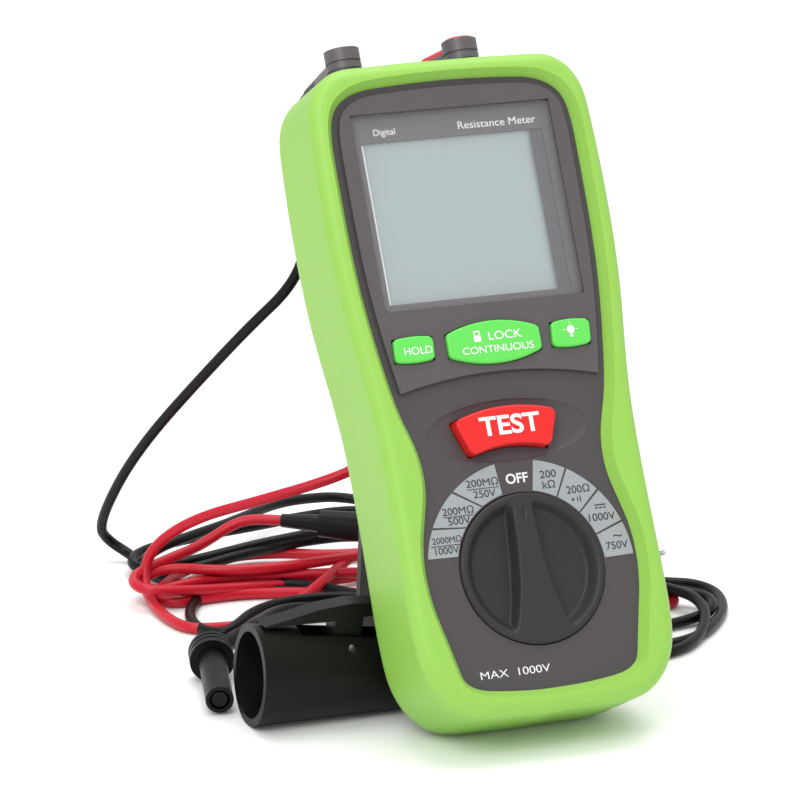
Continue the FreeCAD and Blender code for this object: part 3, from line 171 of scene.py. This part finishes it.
FINISHES = {
    "boot": dict(colour=(0.255, 0.50, 0.075), rough=0.46, grain=0.10, size=1400.0, mottle=0.03,
                 subsurface=0.05, shine=0.4),
    "case": dict(colour=(0.062, 0.054, 0.058), rough=0.50, grain=0.25, size=2600.0, shine=0.35),
    "bezel": dict(colour=(0.084, 0.073, 0.078), rough=0.48, grain=0.25, size=2600.0, shine=0.35),
    "window": dict(colour=(0.9, 0.92, 0.93), rough=0.05, mottle=0.0, wear=0.01, alpha=0.05),
    "lcd": dict(colour=(0.285, 0.335, 0.345), rough=0.4, mottle=0.02, shine=0.3),
    "diffuser": dict(colour=(0.8, 0.83, 0.84), rough=0.5),
    "zebra": dict(colour=(0.5, 0.25, 0.4), rough=0.6),
    "key_green": dict(colour=(0.11, 0.60, 0.085), rough=0.38, coat=0.05, mottle=0.03, shine=0.35),
    "key_red": dict(colour=(0.66, 0.016, 0.014), rough=0.38, coat=0.05, mottle=0.03, shine=0.3),
    "knob": dict(colour=(0.026, 0.023, 0.024), rough=0.48, grain=0.1, size=2400.0, shine=0.3),
    "shaft": dict(colour=(0.7, 0.69, 0.64), rough=0.45),
    "label": dict(colour=(0.285, 0.31, 0.318), rough=0.55),
    "print_light": dict(colour=(0.72, 0.72, 0.72), rough=0.5, mottle=0.0),
    "print_dark": dict(colour=(0.012, 0.013, 0.015), rough=0.5, mottle=0.0),
    # Painted shade: the colour of the dark band that stands for the shade inside the display
    # window's recess.
    "print_shade": dict(colour=(0.050, 0.046, 0.056), rough=0.4, mottle=0.0),
    "circuit_board": dict(colour=(0.02, 0.16, 0.05), rough=0.35),
    "steel": dict(colour=(0.62, 0.62, 0.62), rough=0.3, metal=1.0),
    "brass": dict(colour=(0.75, 0.56, 0.24), rough=0.3, metal=1.0),
    "black_plastic": dict(colour=(0.0045, 0.0045, 0.004), rough=0.40, grain=0.1, size=2000.0,
                          shine=0.16),
    "plug_grey": dict(colour=(0.095, 0.080, 0.089), rough=0.42, grain=0.1, size=2000.0),
    "component": dict(colour=(0.03, 0.03, 0.035), rough=0.4),
    "fuse_glass": dict(colour=(0.85, 0.9, 0.9), rough=0.05, transmit=1.0),
    "cell": dict(colour=(0.5, 0.34, 0.05), rough=0.3),
    "lead_black": dict(colour=(0.003, 0.0028, 0.0028), rough=0.36, grain=0.05, size=900.0,
                       shine=0.2),
    "lead_red": dict(colour=(0.50, 0.006, 0.022), rough=0.36, grain=0.05, size=900.0, shine=0.32),
    "plug_red": dict(colour=(0.50, 0.020, 0.030), rough=0.4),
    "foot": dict(colour=(0.03, 0.03, 0.03), rough=0.7),
}
# Nodes that look different from the rest of their slot.
SPECIAL = {"black_plug": "plug_grey", "red_plug": "plug_grey"}


def finish_of(slot):
    """The material of a slot, made once."""
    name = "finish_" + slot
    return bpy.data.materials.get(name) or surface(name, **FINISHES[slot])


def wear(item, slot):
    item.data.materials.clear()
    item.data.materials.append(finish_of(slot))


# ---------------------------------------------------------------- pieces

def new_piece(name, mesh_or_curve, body, slot):
    """Link a piece, give it its material slot and let it ride on a body."""
    item = bpy.data.objects.new(name, mesh_or_curve)
    bpy.context.scene.collection.objects.link(item)
    wear(item, slot)
    slot in {row["slot"] for row in frame["record"]["materials"]}
    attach(item, body)
    return item


def tube(name, points, diameter, body, slot):
    """A smooth tube along given points."""
    curve = bpy.data.curves.new(name, "CURVE")
    curve.dimensions = "3D"
    spline = curve.splines.new("NURBS")
    spline.points.add(len(points) - 1)
    for spot, point in zip(spline.points, points):
        spot.co = (*point, 1.0)
    spline.order_u = 3
    spline.use_endpoint_u = True
    spline.resolution_u = 10
    curve.bevel_depth = diameter / 2
    curve.bevel_resolution = 6
    curve.use_fill_caps = True
    return new_piece(name, curve, body, slot)


# ------------------------------------------------------------- lettering

# Name, words, place on the face, height of a capital, level, slot, body, weight of the
# strokes, width.
WORDS = [
    ("word_off", "OFF", (0.2, 70.9), 2.9, 0.05, "print_light", "meter", 0.03, 1.0),
    ("word_hold", "HOLD", (-24.8, 112.2), 2.3, 2.75, "print_light", "hold_key", 0.01, 1.02),
    ("word_lock", "LOCK", (3.6, 114.3), 2.5, 2.75, "print_light", "lock_key", 0.012, 1.15),
    ("word_lasting", "CONTINUOUS", (0.8, 110.4), 2.2, 2.75, "print_light", "lock_key", 0.01, 1.12),
    ("word_test", "TEST", (-0.2, 86.7), 5.6, 3.45, "print_light", "test_key", 0.035, 1.12),
    ("word_kind", "Resistance Meter", (15.2, 180.8), 2.35, -1.26, "print_light", "meter", 0.0, 1.1),
    ("word_digital", "Digital", (-21.5, 180.8), 2.0, -1.26, "print_light", "meter", 0.0, 1.0),
    ("word_limit", "MAX  1000V", (-11.5, 13.3), 2.3, 0.05, "print_light", "meter", 0.0, 1.3),
    ("range_a1", "200M\u03a9", (-11.1, 70.8), 2.2, 0.2, "print_dark", "meter", 0.0, 1.12),
    ("range_a2", "250V", (-11.0, 67.4), 2.2, 0.2, "print_dark", "meter", 0.0, 1.1),
    ("range_b1", "200M\u03a9", (-20.3, 63.2), 2.2, 0.2, "print_dark", "meter", 0.0, 1.08),
    ("range_b2", "500V", (-20.6, 60.2), 2.2, 0.2, "print_dark", "meter", 0.0, 1.1),
    ("range_c1", "2000M\u03a9", (-25.5, 54.9), 1.9, 0.2, "print_dark", "meter", 0.0, 1.0),
    ("range_c2", "1000V", (-26.3, 51.8), 2.2, 0.2, "print_dark", "meter", 0.0, 1.0),
    ("range_d1", "200", (10.3, 71.1), 2.3, 0.2, "print_dark", "meter", 0.0, 1.1),
    ("range_d2", "k\u03a9", (10.0, 67.9), 2.3, 0.2, "print_dark", "meter", 0.0, 1.1),
    ("range_e1", "200\u03a9", (19.1, 65.5), 2.3, 0.2, "print_dark", "meter", 0.0, 1.05),
    ("range_f1", "1000V", (24.8, 56.3), 2.3, 0.2, "print_dark", "meter", 0.0, 1.08),
    ("range_g1", "~", (29.0, 50.3), 3.0, 0.2, "print_dark", "meter", 0.0, 1.3),
    ("range_g2", "750V", (28.2, 47.2), 2.3, 0.2, "print_dark", "meter", 0.0, 1.05),
]
# Thin bars of print, with a painted glint and a painted shade band in the display window: name,
# level, slot, body, and each bar's centre, width and height.
BARS = [
    ("range_rules", 0.2, "print_dark", "meter", [
        ((-11.1, 69.15), (10.0, 0.22)), ((-20.5, 61.7), (9.6, 0.22)), ((-26.0, 53.35), (9.6, 0.22)),
        ((25.2, 60.1), (3.6, 0.35)), ((23.9, 59.2), (0.9, 0.35)), ((25.2, 59.2), (0.9, 0.35)),
        ((26.5, 59.2), (0.9, 0.35)), ((16.9, 62.6), (0.7, 0.7)), ((18.4, 62.6), (0.3, 1.3)),
        ((19.3, 62.6), (0.3, 1.9)),
    ]),
    ("padlock", 2.75, "print_light", "lock_key", [
        ((-5.3, 114.0), (2.3, 1.9)), ((-6.1, 115.5), (0.45, 1.5)), ((-4.5, 115.5), (0.45, 1.5)),
        ((-5.3, 116.2), (2.05, 0.45)),
    ]),
    # Painted highlight: a pale bar along the window's left inner edge stands for the glint of light
    # on that edge. It takes the pale print colour.
    ("window_edge_glint", -1.24, "print_light", "meter", [((-29.3, 152.4), (0.3, 49.4))]),
    # Painted shade: a dark band down the window's right side stands for the shade in the window's
    # deeper recess.
    ("window_shade", -1.24, "print_shade", "meter", [((27.4, 152.4), (4.2, 50.0))]),
    ("lamp_base", 2.75, "print_light", "light_key", [
        ((25.2, 112.0), (1.0, 0.9)), ((25.2, 115.9), (0.3, 0.7)), ((23.2, 113.9), (0.7, 0.3)),
        ((27.2, 113.9), (0.7, 0.3)),
    ]),
]


def on_face(shape, name, body, slot):
    """Put a bmesh drawn in the tester's own frame into the scene."""
    shape.transform(leaning())
    mesh = bpy.data.meshes.new(name)
    shape.to_mesh(mesh)
    shape.free()
    return new_piece(name, mesh, body, slot)


def word_piece(name, words, place, height, level, slot, body, weight, width):
    """Printed letters, centred on a place of the face."""
    curve = bpy.data.curves.new(name, "FONT")
    curve.body = words
    curve.size = height / 0.7
    curve.offset = weight * height
    curve.extrude = 0.02
    curve.align_x = "CENTER"
    curve.align_y = "CENTER"
    flat = bpy.data.objects.new(name + "_curve", curve)
    bpy.context.scene.collection.objects.link(flat)
    graph = bpy.context.evaluated_depsgraph_get()
    letters = bpy.data.meshes.new_from_object(flat.evaluated_get(graph))
    bpy.data.objects.remove(flat)
    shape = bmesh.new()
    shape.from_mesh(letters)
    shape.transform(Matrix.Translation((*place, level)) @ Matrix.Diagonal((width, 1, 1, 1)))
    return on_face(shape, name, body, slot)


class TESTER_OT_lettering(bpy.types.Operator):
    """Print the ranges on the dial and the words on the keys, and paint a glint and a shade band
    into the display window
    """
    bl_idname = "tester.lettering"
    bl_label = "Lettering"

    def execute(self, context):
        for row in WORDS:
            word_piece(*row)
        for name, level, slot, body, bars in BARS:
            shape = bmesh.new()
            for centre, sides in bars:
                made = bmesh.ops.create_cube(shape, size=1.0)
                move = Matrix.Translation((*centre, level)) @ Matrix.Diagonal((*sides, 0.04, 1))
                bmesh.ops.transform(shape, matrix=move, verts=made["verts"])
            on_face(shape, name, body, slot)
        shape = bmesh.new()
        bmesh.ops.create_cone(shape, cap_ends=True, segments=24, radius1=1.25, radius2=1.25,
                              depth=0.04, matrix=Matrix.Translation((25.2, 113.9, 2.75)))
        on_face(shape, "lamp_bulb", "light_key", "print_light")
        return {"FINISHED"}


# ------------------------------------------------------------------ knob

KNOB_RINGS = [0.35 * step for step in range(57)] + [
    20.2, 20.4, 20.6, 20.8, 21.0, 21.2, 21.4, 21.6, 21.9, 22.2, 22.5, 22.7, 22.85, 22.9,
]


def ease(low, high, value):
    """Zero below low, one above high, smooth between."""
    part = min(1.0, max(0.0, (value - low) / (high - low)))
    return part * part * (3 - 2 * part)


def knob_level(x, y):
    """Height of the knob's surface at a place measured from its centre."""
    reach = math.hypot(x, y)
    floor = -3.6 + 1.4 * (reach / 21) ** 2
    sunk = 1.2 + (floor - 1.2) * (1 - ease(18.0, 21.5, reach))
    along = (21 - y) / 42
    half = 2.7 + 1.5 * along + 5.2 * along ** 3
    bar = 1 - ease(half, half + 2.0, abs(x))
    level = sunk + (1.2 - sunk) * bar
    mark = math.hypot((x - 0.2) / 0.55, (y - 17.0) / 2.1)
    level -= 0.7 * (1 - ease(0.5, 1.1, mark))
    return level - 0.5 * ease(22.3, 22.9, reach)


class TESTER_OT_knob(bpy.types.Operator):
    """Selector knob: a flush rim, two sunk halves and a flared grip bar"""
    bl_idname = "tester.knob"
    bl_label = "Knob"

    def execute(self, context):
        middle = Vector((0, context.scene.tester_sizes.knob_y, 0))
        spokes = 300
        shape = bmesh.new()
        top = shape.verts.new(middle + Vector((0, 0, knob_level(0, 0))))
        rings = []
        for reach in KNOB_RINGS[1:]:
            ring = []
            for spoke in range(spokes):
                turn = math.tau * spoke / spokes
                x, y = reach * math.cos(turn), reach * math.sin(turn)
                ring.append(shape.verts.new(middle + Vector((x, y, knob_level(x, y)))))
            rings.append(ring)
        rings.append([shape.verts.new((v.co.x, v.co.y, -2.0)) for v in rings[-1]])
        for spoke in range(spokes):
            after = (spoke + 1) % spokes
            shape.faces.new((top, rings[0][spoke], rings[0][after]))
            for inner, outer in zip(rings, rings[1:]):
                shape.faces.new((inner[spoke], outer[spoke], outer[after], inner[after]))
        for face in shape.faces:
            face.smooth = True
        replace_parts(on_face(shape, "knob_face", "selector", "knob"), "selector_knob")
        return {"FINISHED"}


# ----------------------------------------------------------------- plugs

def aimed(spot, way):
    """The matrix that puts a cone's middle on a spot and its axis along a way."""
    return Matrix.Translation(spot) @ way.to_track_quat("Z", "Y").to_matrix().to_4x4()


class TESTER_OT_plugs(bpy.types.Operator):
    """Red insert on the top plug and its arm, insulated tip in the loose plug"""
    bl_idname = "tester.plugs"
    bl_label = "Plugs"

    def execute(self, context):
        shape = bmesh.new()
        head = Matrix.Translation((16.4, 212.7, -21.7)) @ Matrix.Rotation(math.radians(-90), 4, "X")
        bmesh.ops.create_cone(shape, cap_ends=True, segments=48, radius1=5.0, radius2=4.2,
                              depth=1.0, matrix=head)
        arm = Vector((-0.42, 0.0, -0.91))
        middle = Vector((16.4, 208.9, -21.7)) + arm * 7.5
        bmesh.ops.create_cone(shape, cap_ends=True, segments=48, radius1=3.4, radius2=2.6,
                              depth=15.0, matrix=aimed(middle, arm))
        on_face(shape, "red_insert", "meter", "plug_red")
        flange, nose = on_floor(-72.0, 103.0, 7.5), on_floor(-81.6, 69.0, 5.0)
        along = (nose - flange).normalized()
        shape = bmesh.new()
        bmesh.ops.create_cone(shape, cap_ends=True, segments=40, radius1=2.9 * MM,
                              radius2=2.4 * MM, depth=1.2 * MM,
                              matrix=aimed(flange + along * 33.0 * MM, along))
        mesh = bpy.data.meshes.new("loose_plug_tip")
        shape.to_mesh(mesh)
        shape.free()
        new_piece("loose_plug_tip", mesh, "meter", "lead_black")
        return {"FINISHED"}


# ----------------------------------------------------------------- leads

# Floor frame, millimetres. Each list is one lead's route from its plug to its far end.
BLACK_ROUTE = [
    (-23.0, 142.8, 173.1), (-23.2, 150.4, 169.1), (-22.0, 157.0, 157.0), (-19.5, 158.0, 140.0),
    (-19.0, 155.5, 123.0), (-24.3, 154.8, 109.3), (-35.4, 167.0, 93.2), (-47.4, 184.0, 71.4),
    (-57.0, 199.5, 52.0), (-63.6, 212.5, 34.0), (-66.9, 226.3, 13.8), (-62.6, 229.8, 7.2),
    (-56.0, 226.0, 2.6), (-55.5, 215.0, 2.0), (-56.3, 203.7, 2.0), (-53.0, 193.2, 2.0),
    (-46.0, 185.7, 2.0), (-35.7, 180.5, 2.0), (-22.9, 173.0, 2.0), (-10.0, 165.5, 2.0),
    (8.0, 154.0, 2.0), (30.0, 150.0, 2.0), (60.0, 150.0, 3.0), (84.0, 138.0, 3.0),
    (97.0, 132.0, 2.4), (105.0, 128.0, 2.2), (108.5, 118.0, 2.0), (104.0, 103.0, 2.0),
    (95.0, 90.0, 2.0), (84.0, 79.0, 2.0), (70.0, 74.0, 2.0), (56.0, 82.0, 2.0),
    (46.0, 105.0, 2.0), (40.0, 140.0, 2.0), (44.0, 190.0, 3.0), (42.0, 226.0, 6.0),
    (24.0, 232.4, 7.0), (4.4, 227.8, 8.0), (-12.9, 223.8, 8.0), (-28.9, 224.1, 7.0),
    (-41.6, 223.1, 6.0), (-52.3, 220.8, 5.5), (-59.8, 214.7, 5.0), (-61.0, 206.0, 4.0),
    (-52.2, 202.4, 5.0), (-40.0, 202.3, 6.0), (-29.6, 204.6, 6.5), (-16.8, 204.9, 8.0),
    (-4.4, 204.8, 9.0), (14.2, 209.4, 9.0), (40.0, 206.0, 6.0), (66.0, 178.0, 4.0),
    (80.0, 138.0, 4.0), (89.0, 117.0, 5.0), (96.0, 113.0, 5.0), (100.5, 105.0, 4.6),
    (97.0, 97.0, 3.6), (88.0, 94.5, 2.2), (74.0, 92.0, 2.0), (60.0, 98.0, 2.0),
    (55.0, 130.0, 2.0), (50.0, 180.0, 4.0), (44.0, 226.0, 6.0), (28.0, 245.0, 8.0),
    (10.7, 244.2, 9.0), (0.0, 241.0, 9.0), (-14.0, 229.5, 10.0), (-26.7, 219.1, 11.0),
    (-40.5, 212.0, 11.0), (-51.5, 209.1, 9.5), (-58.6, 205.5, 7.0), (-58.9, 200.0, 5.0),
    (-51.0, 197.7, 4.0), (-39.2, 198.5, 5.0), (-26.2, 201.4, 6.0), (-12.4, 205.2, 6.0),
    (1.2, 208.1, 6.0), (18.4, 207.4, 6.0), (40.0, 192.0, 5.0), (62.0, 160.0, 5.0),
    (80.0, 130.0, 6.5), (90.0, 113.0, 6.8), (94.5, 104.0, 6.0), (92.5, 92.0, 4.5),
    (84.0, 78.5, 2.4), (72.0, 68.5, 2.0), (57.0, 68.0, 2.0), (46.0, 82.0, 2.0),
    (34.0, 112.0, 2.0), (12.0, 138.0, 2.0), (-4.9, 158.7, 3.5), (-12.1, 168.2, 3.5),
    (-21.6, 176.3, 3.6), (-32.2, 180.5, 3.6), (-41.2, 181.8, 2.6), (-49.2, 176.8, 2.0),
    (-56.4, 166.3, 2.0), (-60.5, 154.5, 2.0), (-60.4, 143.6, 2.0), (-55.8, 136.6, 2.4),
    (-50.9, 138.5, 3.8), (-42.5, 146.5, 5.0), (-31.1, 151.2, 5.5), (-17.3, 151.2, 5.5),
    (-4.0, 148.0, 5.0), (5.0, 138.0, 4.0), (1.0, 131.0, 3.0), (-8.0, 137.0, 3.0),
    (-18.0, 143.5, 4.0), (-28.8, 143.5, 6.0), (-39.5, 135.4, 8.0), (-47.0, 126.0, 9.5),
    (-53.0, 117.6, 11.2), (-59.5, 112.6, 10.2),
]
RED_ROUTE = [
    (5.4, 136.3, 176.5), (0.4, 145.8, 171.5), (-1.5, 150.0, 160.0), (-1.0, 152.0, 140.0),
    (1.0, 152.5, 115.0), (2.5, 152.0, 88.0), (1.5, 150.5, 64.0), (-2.0, 150.5, 48.5),
    (-14.5, 153.5, 43.5), (-32.0, 164.0, 36.4), (-50.0, 179.0, 28.0), (-61.0, 189.0, 17.0),
    (-64.5, 188.5, 7.5), (-65.8, 180.0, 2.6), (-67.0, 163.0, 2.0), (-64.5, 147.5, 2.0),
    (-56.5, 144.5, 2.0), (-46.0, 143.4, 2.0), (-35.5, 146.8, 2.0), (-25.2, 155.0, 3.0),
    (-14.9, 162.0, 5.0), (-1.1, 174.9, 7.0), (8.8, 183.9, 8.0), (28.0, 188.0, 7.0),
    (50.0, 178.0, 5.0), (60.0, 190.0, 4.0), (44.0, 208.0, 4.0), (20.7, 196.0, 3.0),
    (4.8, 199.0, 3.0), (-6.8, 206.1, 3.0), (-19.5, 210.0, 3.0), (-33.2, 208.5, 3.0),
    (-45.8, 200.6, 3.4), (-58.1, 187.6, 3.6), (-63.2, 179.8, 2.4), (-60.1, 173.0, 2.0),
    (-48.0, 174.3, 2.0), (-34.6, 174.3, 2.0), (-17.6, 168.5, 2.0), (-0.1, 161.4, 2.0),
    (22.0, 140.0, 2.0), (56.0, 128.0, 2.0), (80.0, 114.0, 2.0), (91.0, 112.0, 2.0),
    (93.0, 120.0, 2.0), (76.0, 136.0, 3.0), (48.0, 156.0, 6.0), (26.0, 170.0, 8.0),
    (11.9, 178.2, 9.0), (-4.4, 176.4, 9.0), (-18.5, 175.3, 9.0), (-33.6, 176.8, 9.0),
    (-44.4, 181.2, 9.0), (-51.7, 187.9, 8.6), (-58.5, 190.1, 8.0), (-64.0, 189.2, 6.5),
    (-66.0, 184.0, 5.0), (-61.3, 181.0, 4.0), (-54.4, 181.5, 5.0), (-44.0, 182.4, 5.5),
    (-32.4, 180.0, 5.5), (-18.0, 176.5, 5.5), (0.7, 170.6, 6.0), (26.0, 160.0, 6.0),
    (42.0, 168.0, 4.0), (34.0, 182.0, 3.0), (4.6, 174.8, 2.5), (-18.7, 174.8, 3.0),
    (-39.4, 175.3, 4.0), (-57.2, 172.6, 6.0), (-67.4, 171.9, 7.5), (-71.3, 177.4, 8.0),
    (-69.1, 185.5, 8.4), (-62.6, 190.4, 9.0), (-54.5, 191.7, 11.0), (-43.2, 192.2, 14.0),
    (-32.0, 191.5, 20.5), (-25.0, 188.2, 22.4), (-18.1, 183.2, 22.3),
]


def route_length(points):
    """Length of the quadratic curve that these control points make."""
    middles = [points[0]] + [(a + b) / 2 for a, b in zip(points[1:], points[2:-1])] + [points[-1]]
    total = 0.0
    for start, control, end in zip(middles, points[1:-1], middles[1:]):
        last = start
        for step in range(1, 13):
            t = step / 12
            spot = start * (1 - t) ** 2 + control * (2 * t * (1 - t)) + end * t ** 2
            total += (spot - last).length
            last = spot
    return total


class TESTER_OT_leads(bpy.types.Operator):
    """Lay both test leads from their plugs to the probe and the loose plug"""
    bl_idname = "tester.leads"
    bl_label = "Leads"

    def execute(self, context):
        diameter = context.scene.tester_sizes.lead * MM
        ends = {
            "black": (BLACK_ROUTE, "plug", ["black_far_plug", "black_far_pin"]),
            "red": (RED_ROUTE, "tool", ["probe_handle", "probe_tip", "probe_strain_relief"]),
        }
        for colour, (route, far_end, names) in ends.items():
            points = [on_floor(*spot) for spot in route]
            lead = tube(colour + "_lead", points, diameter, "meter", "lead_" + colour)
            length = route_length(points)
            print(colour, "lead", round(length, 3))
            hidden = [colour + "_lead_drop", colour + "_lead_tail"]
            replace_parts(lead, *hidden, *(["lead_hank"] if colour == "black" else []))
        return {"FINISHED"}


# ---------------------------------------------------------- stage, finishes

class TESTER_OT_finishes(bpy.types.Operator):
    """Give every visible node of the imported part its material"""
    bl_idname = "tester.finishes"
    bl_label = "Finishes"

    def execute(self, context):
        slots = {row["node"]: row["material_slot"] for row in frame["record"]["subparts"]}
        for name, item in frame["nodes"].items():
            if name not in slots:
                raise ValueError(name + " has no material slot")
            wear(item, SPECIAL.get(name, slots[name]))
        return {"FINISHED"}


def area_light(name, spot, target, power, width, height):
    light = bpy.data.lights.new(name, "AREA")
    light.shape = "RECTANGLE"
    light.size = width
    light.size_y = height
    light.energy = power
    item = bpy.data.objects.new(name, light)
    item.location = spot
    item.rotation_euler = (Vector(target) - Vector(spot)).to_track_quat("-Z", "Y").to_euler()
    bpy.context.scene.collection.objects.link(item)
    return item


class TESTER_OT_stage(bpy.types.Operator):
    """Floor, soft lights and the camera"""
    bl_idname = "tester.stage"
    bl_label = "Stage"

    def execute(self, context):
        scene = context.scene
        studio = scene.studio_sizes
        mesh = bpy.data.meshes.new("floor")
        shape = bmesh.new()
        bmesh.ops.create_grid(shape, x_segments=1, y_segments=1, size=30.0)
        shape.to_mesh(mesh)
        shape.free()
        floor = bpy.data.objects.new("floor", mesh)
        scene.collection.objects.link(floor)
        floor.data.materials.append(surface("floor", (0.93, 0.93, 0.935), rough=0.55, mottle=0.0))
        world = bpy.data.worlds.new("studio")
        scene.world = world
        world.use_nodes = True
        background = world.node_tree.nodes["Background"]
        background.inputs["Color"].default_value = (1.0, 1.0, 1.0, 1.0)
        background.inputs["Strength"].default_value = studio.sky
        area_light("key", (-0.9, -0.9, 1.3), (0, 0, 0.08), 13.0, 0.9, 0.9)
        area_light("top", (0.2, 0.3, 1.5), (0, 0.05, 0), 14.0, 1.2, 1.2)
        camera = bpy.data.objects.new("camera", bpy.data.cameras.new("camera"))
        camera.location = studio.camera
        camera.rotation_euler = (math.radians(90 - studio.drop), 0, math.radians(studio.azimuth))
        camera.data.lens = studio.lens
        camera.data.sensor_width = 36.0
        camera.data.clip_end = 100.0
        scene.collection.objects.link(camera)
        scene.camera = camera
        scene.view_settings.view_transform = "Standard"
        scene.render.resolution_x = 800
        scene.render.resolution_y = 800
        return {"FINISHED"}


# ----------------------------------------------------------------- add-on

STEPS = ("finishes", "lettering", "knob", "plugs", "leads", "stage")


class TESTER_PT_panel(bpy.types.Panel):
    """The steps, in the order that they run"""
    bl_idname = "TESTER_PT_panel"
    bl_label = "Insulation tester"
    bl_space_type = "VIEW_3D"
    bl_region_type = "UI"
    bl_category = "Tester"

    def draw(self, context):
        for step in STEPS:
            self.layout.operator("tester." + step)


CLASSES = (
    TesterSizes, StudioSizes, TESTER_OT_finishes, TESTER_OT_lettering, TESTER_OT_knob,
    TESTER_OT_plugs, TESTER_OT_leads, TESTER_OT_stage, TESTER_PT_panel,
)


def register():
    for item in CLASSES:
        bpy.utils.register_class(item)
    bpy.types.Scene.tester_sizes = PointerProperty(type=TesterSizes)
    bpy.types.Scene.studio_sizes = PointerProperty(type=StudioSizes)


def unregister():
    del bpy.types.Scene.studio_sizes
    del bpy.types.Scene.tester_sizes
    for item in reversed(CLASSES):
        bpy.utils.unregister_class(item)


def main():
    register()
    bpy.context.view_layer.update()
    for step in STEPS:
        getattr(bpy.ops.tester, step)()


if __name__ == "__main__":
    main()
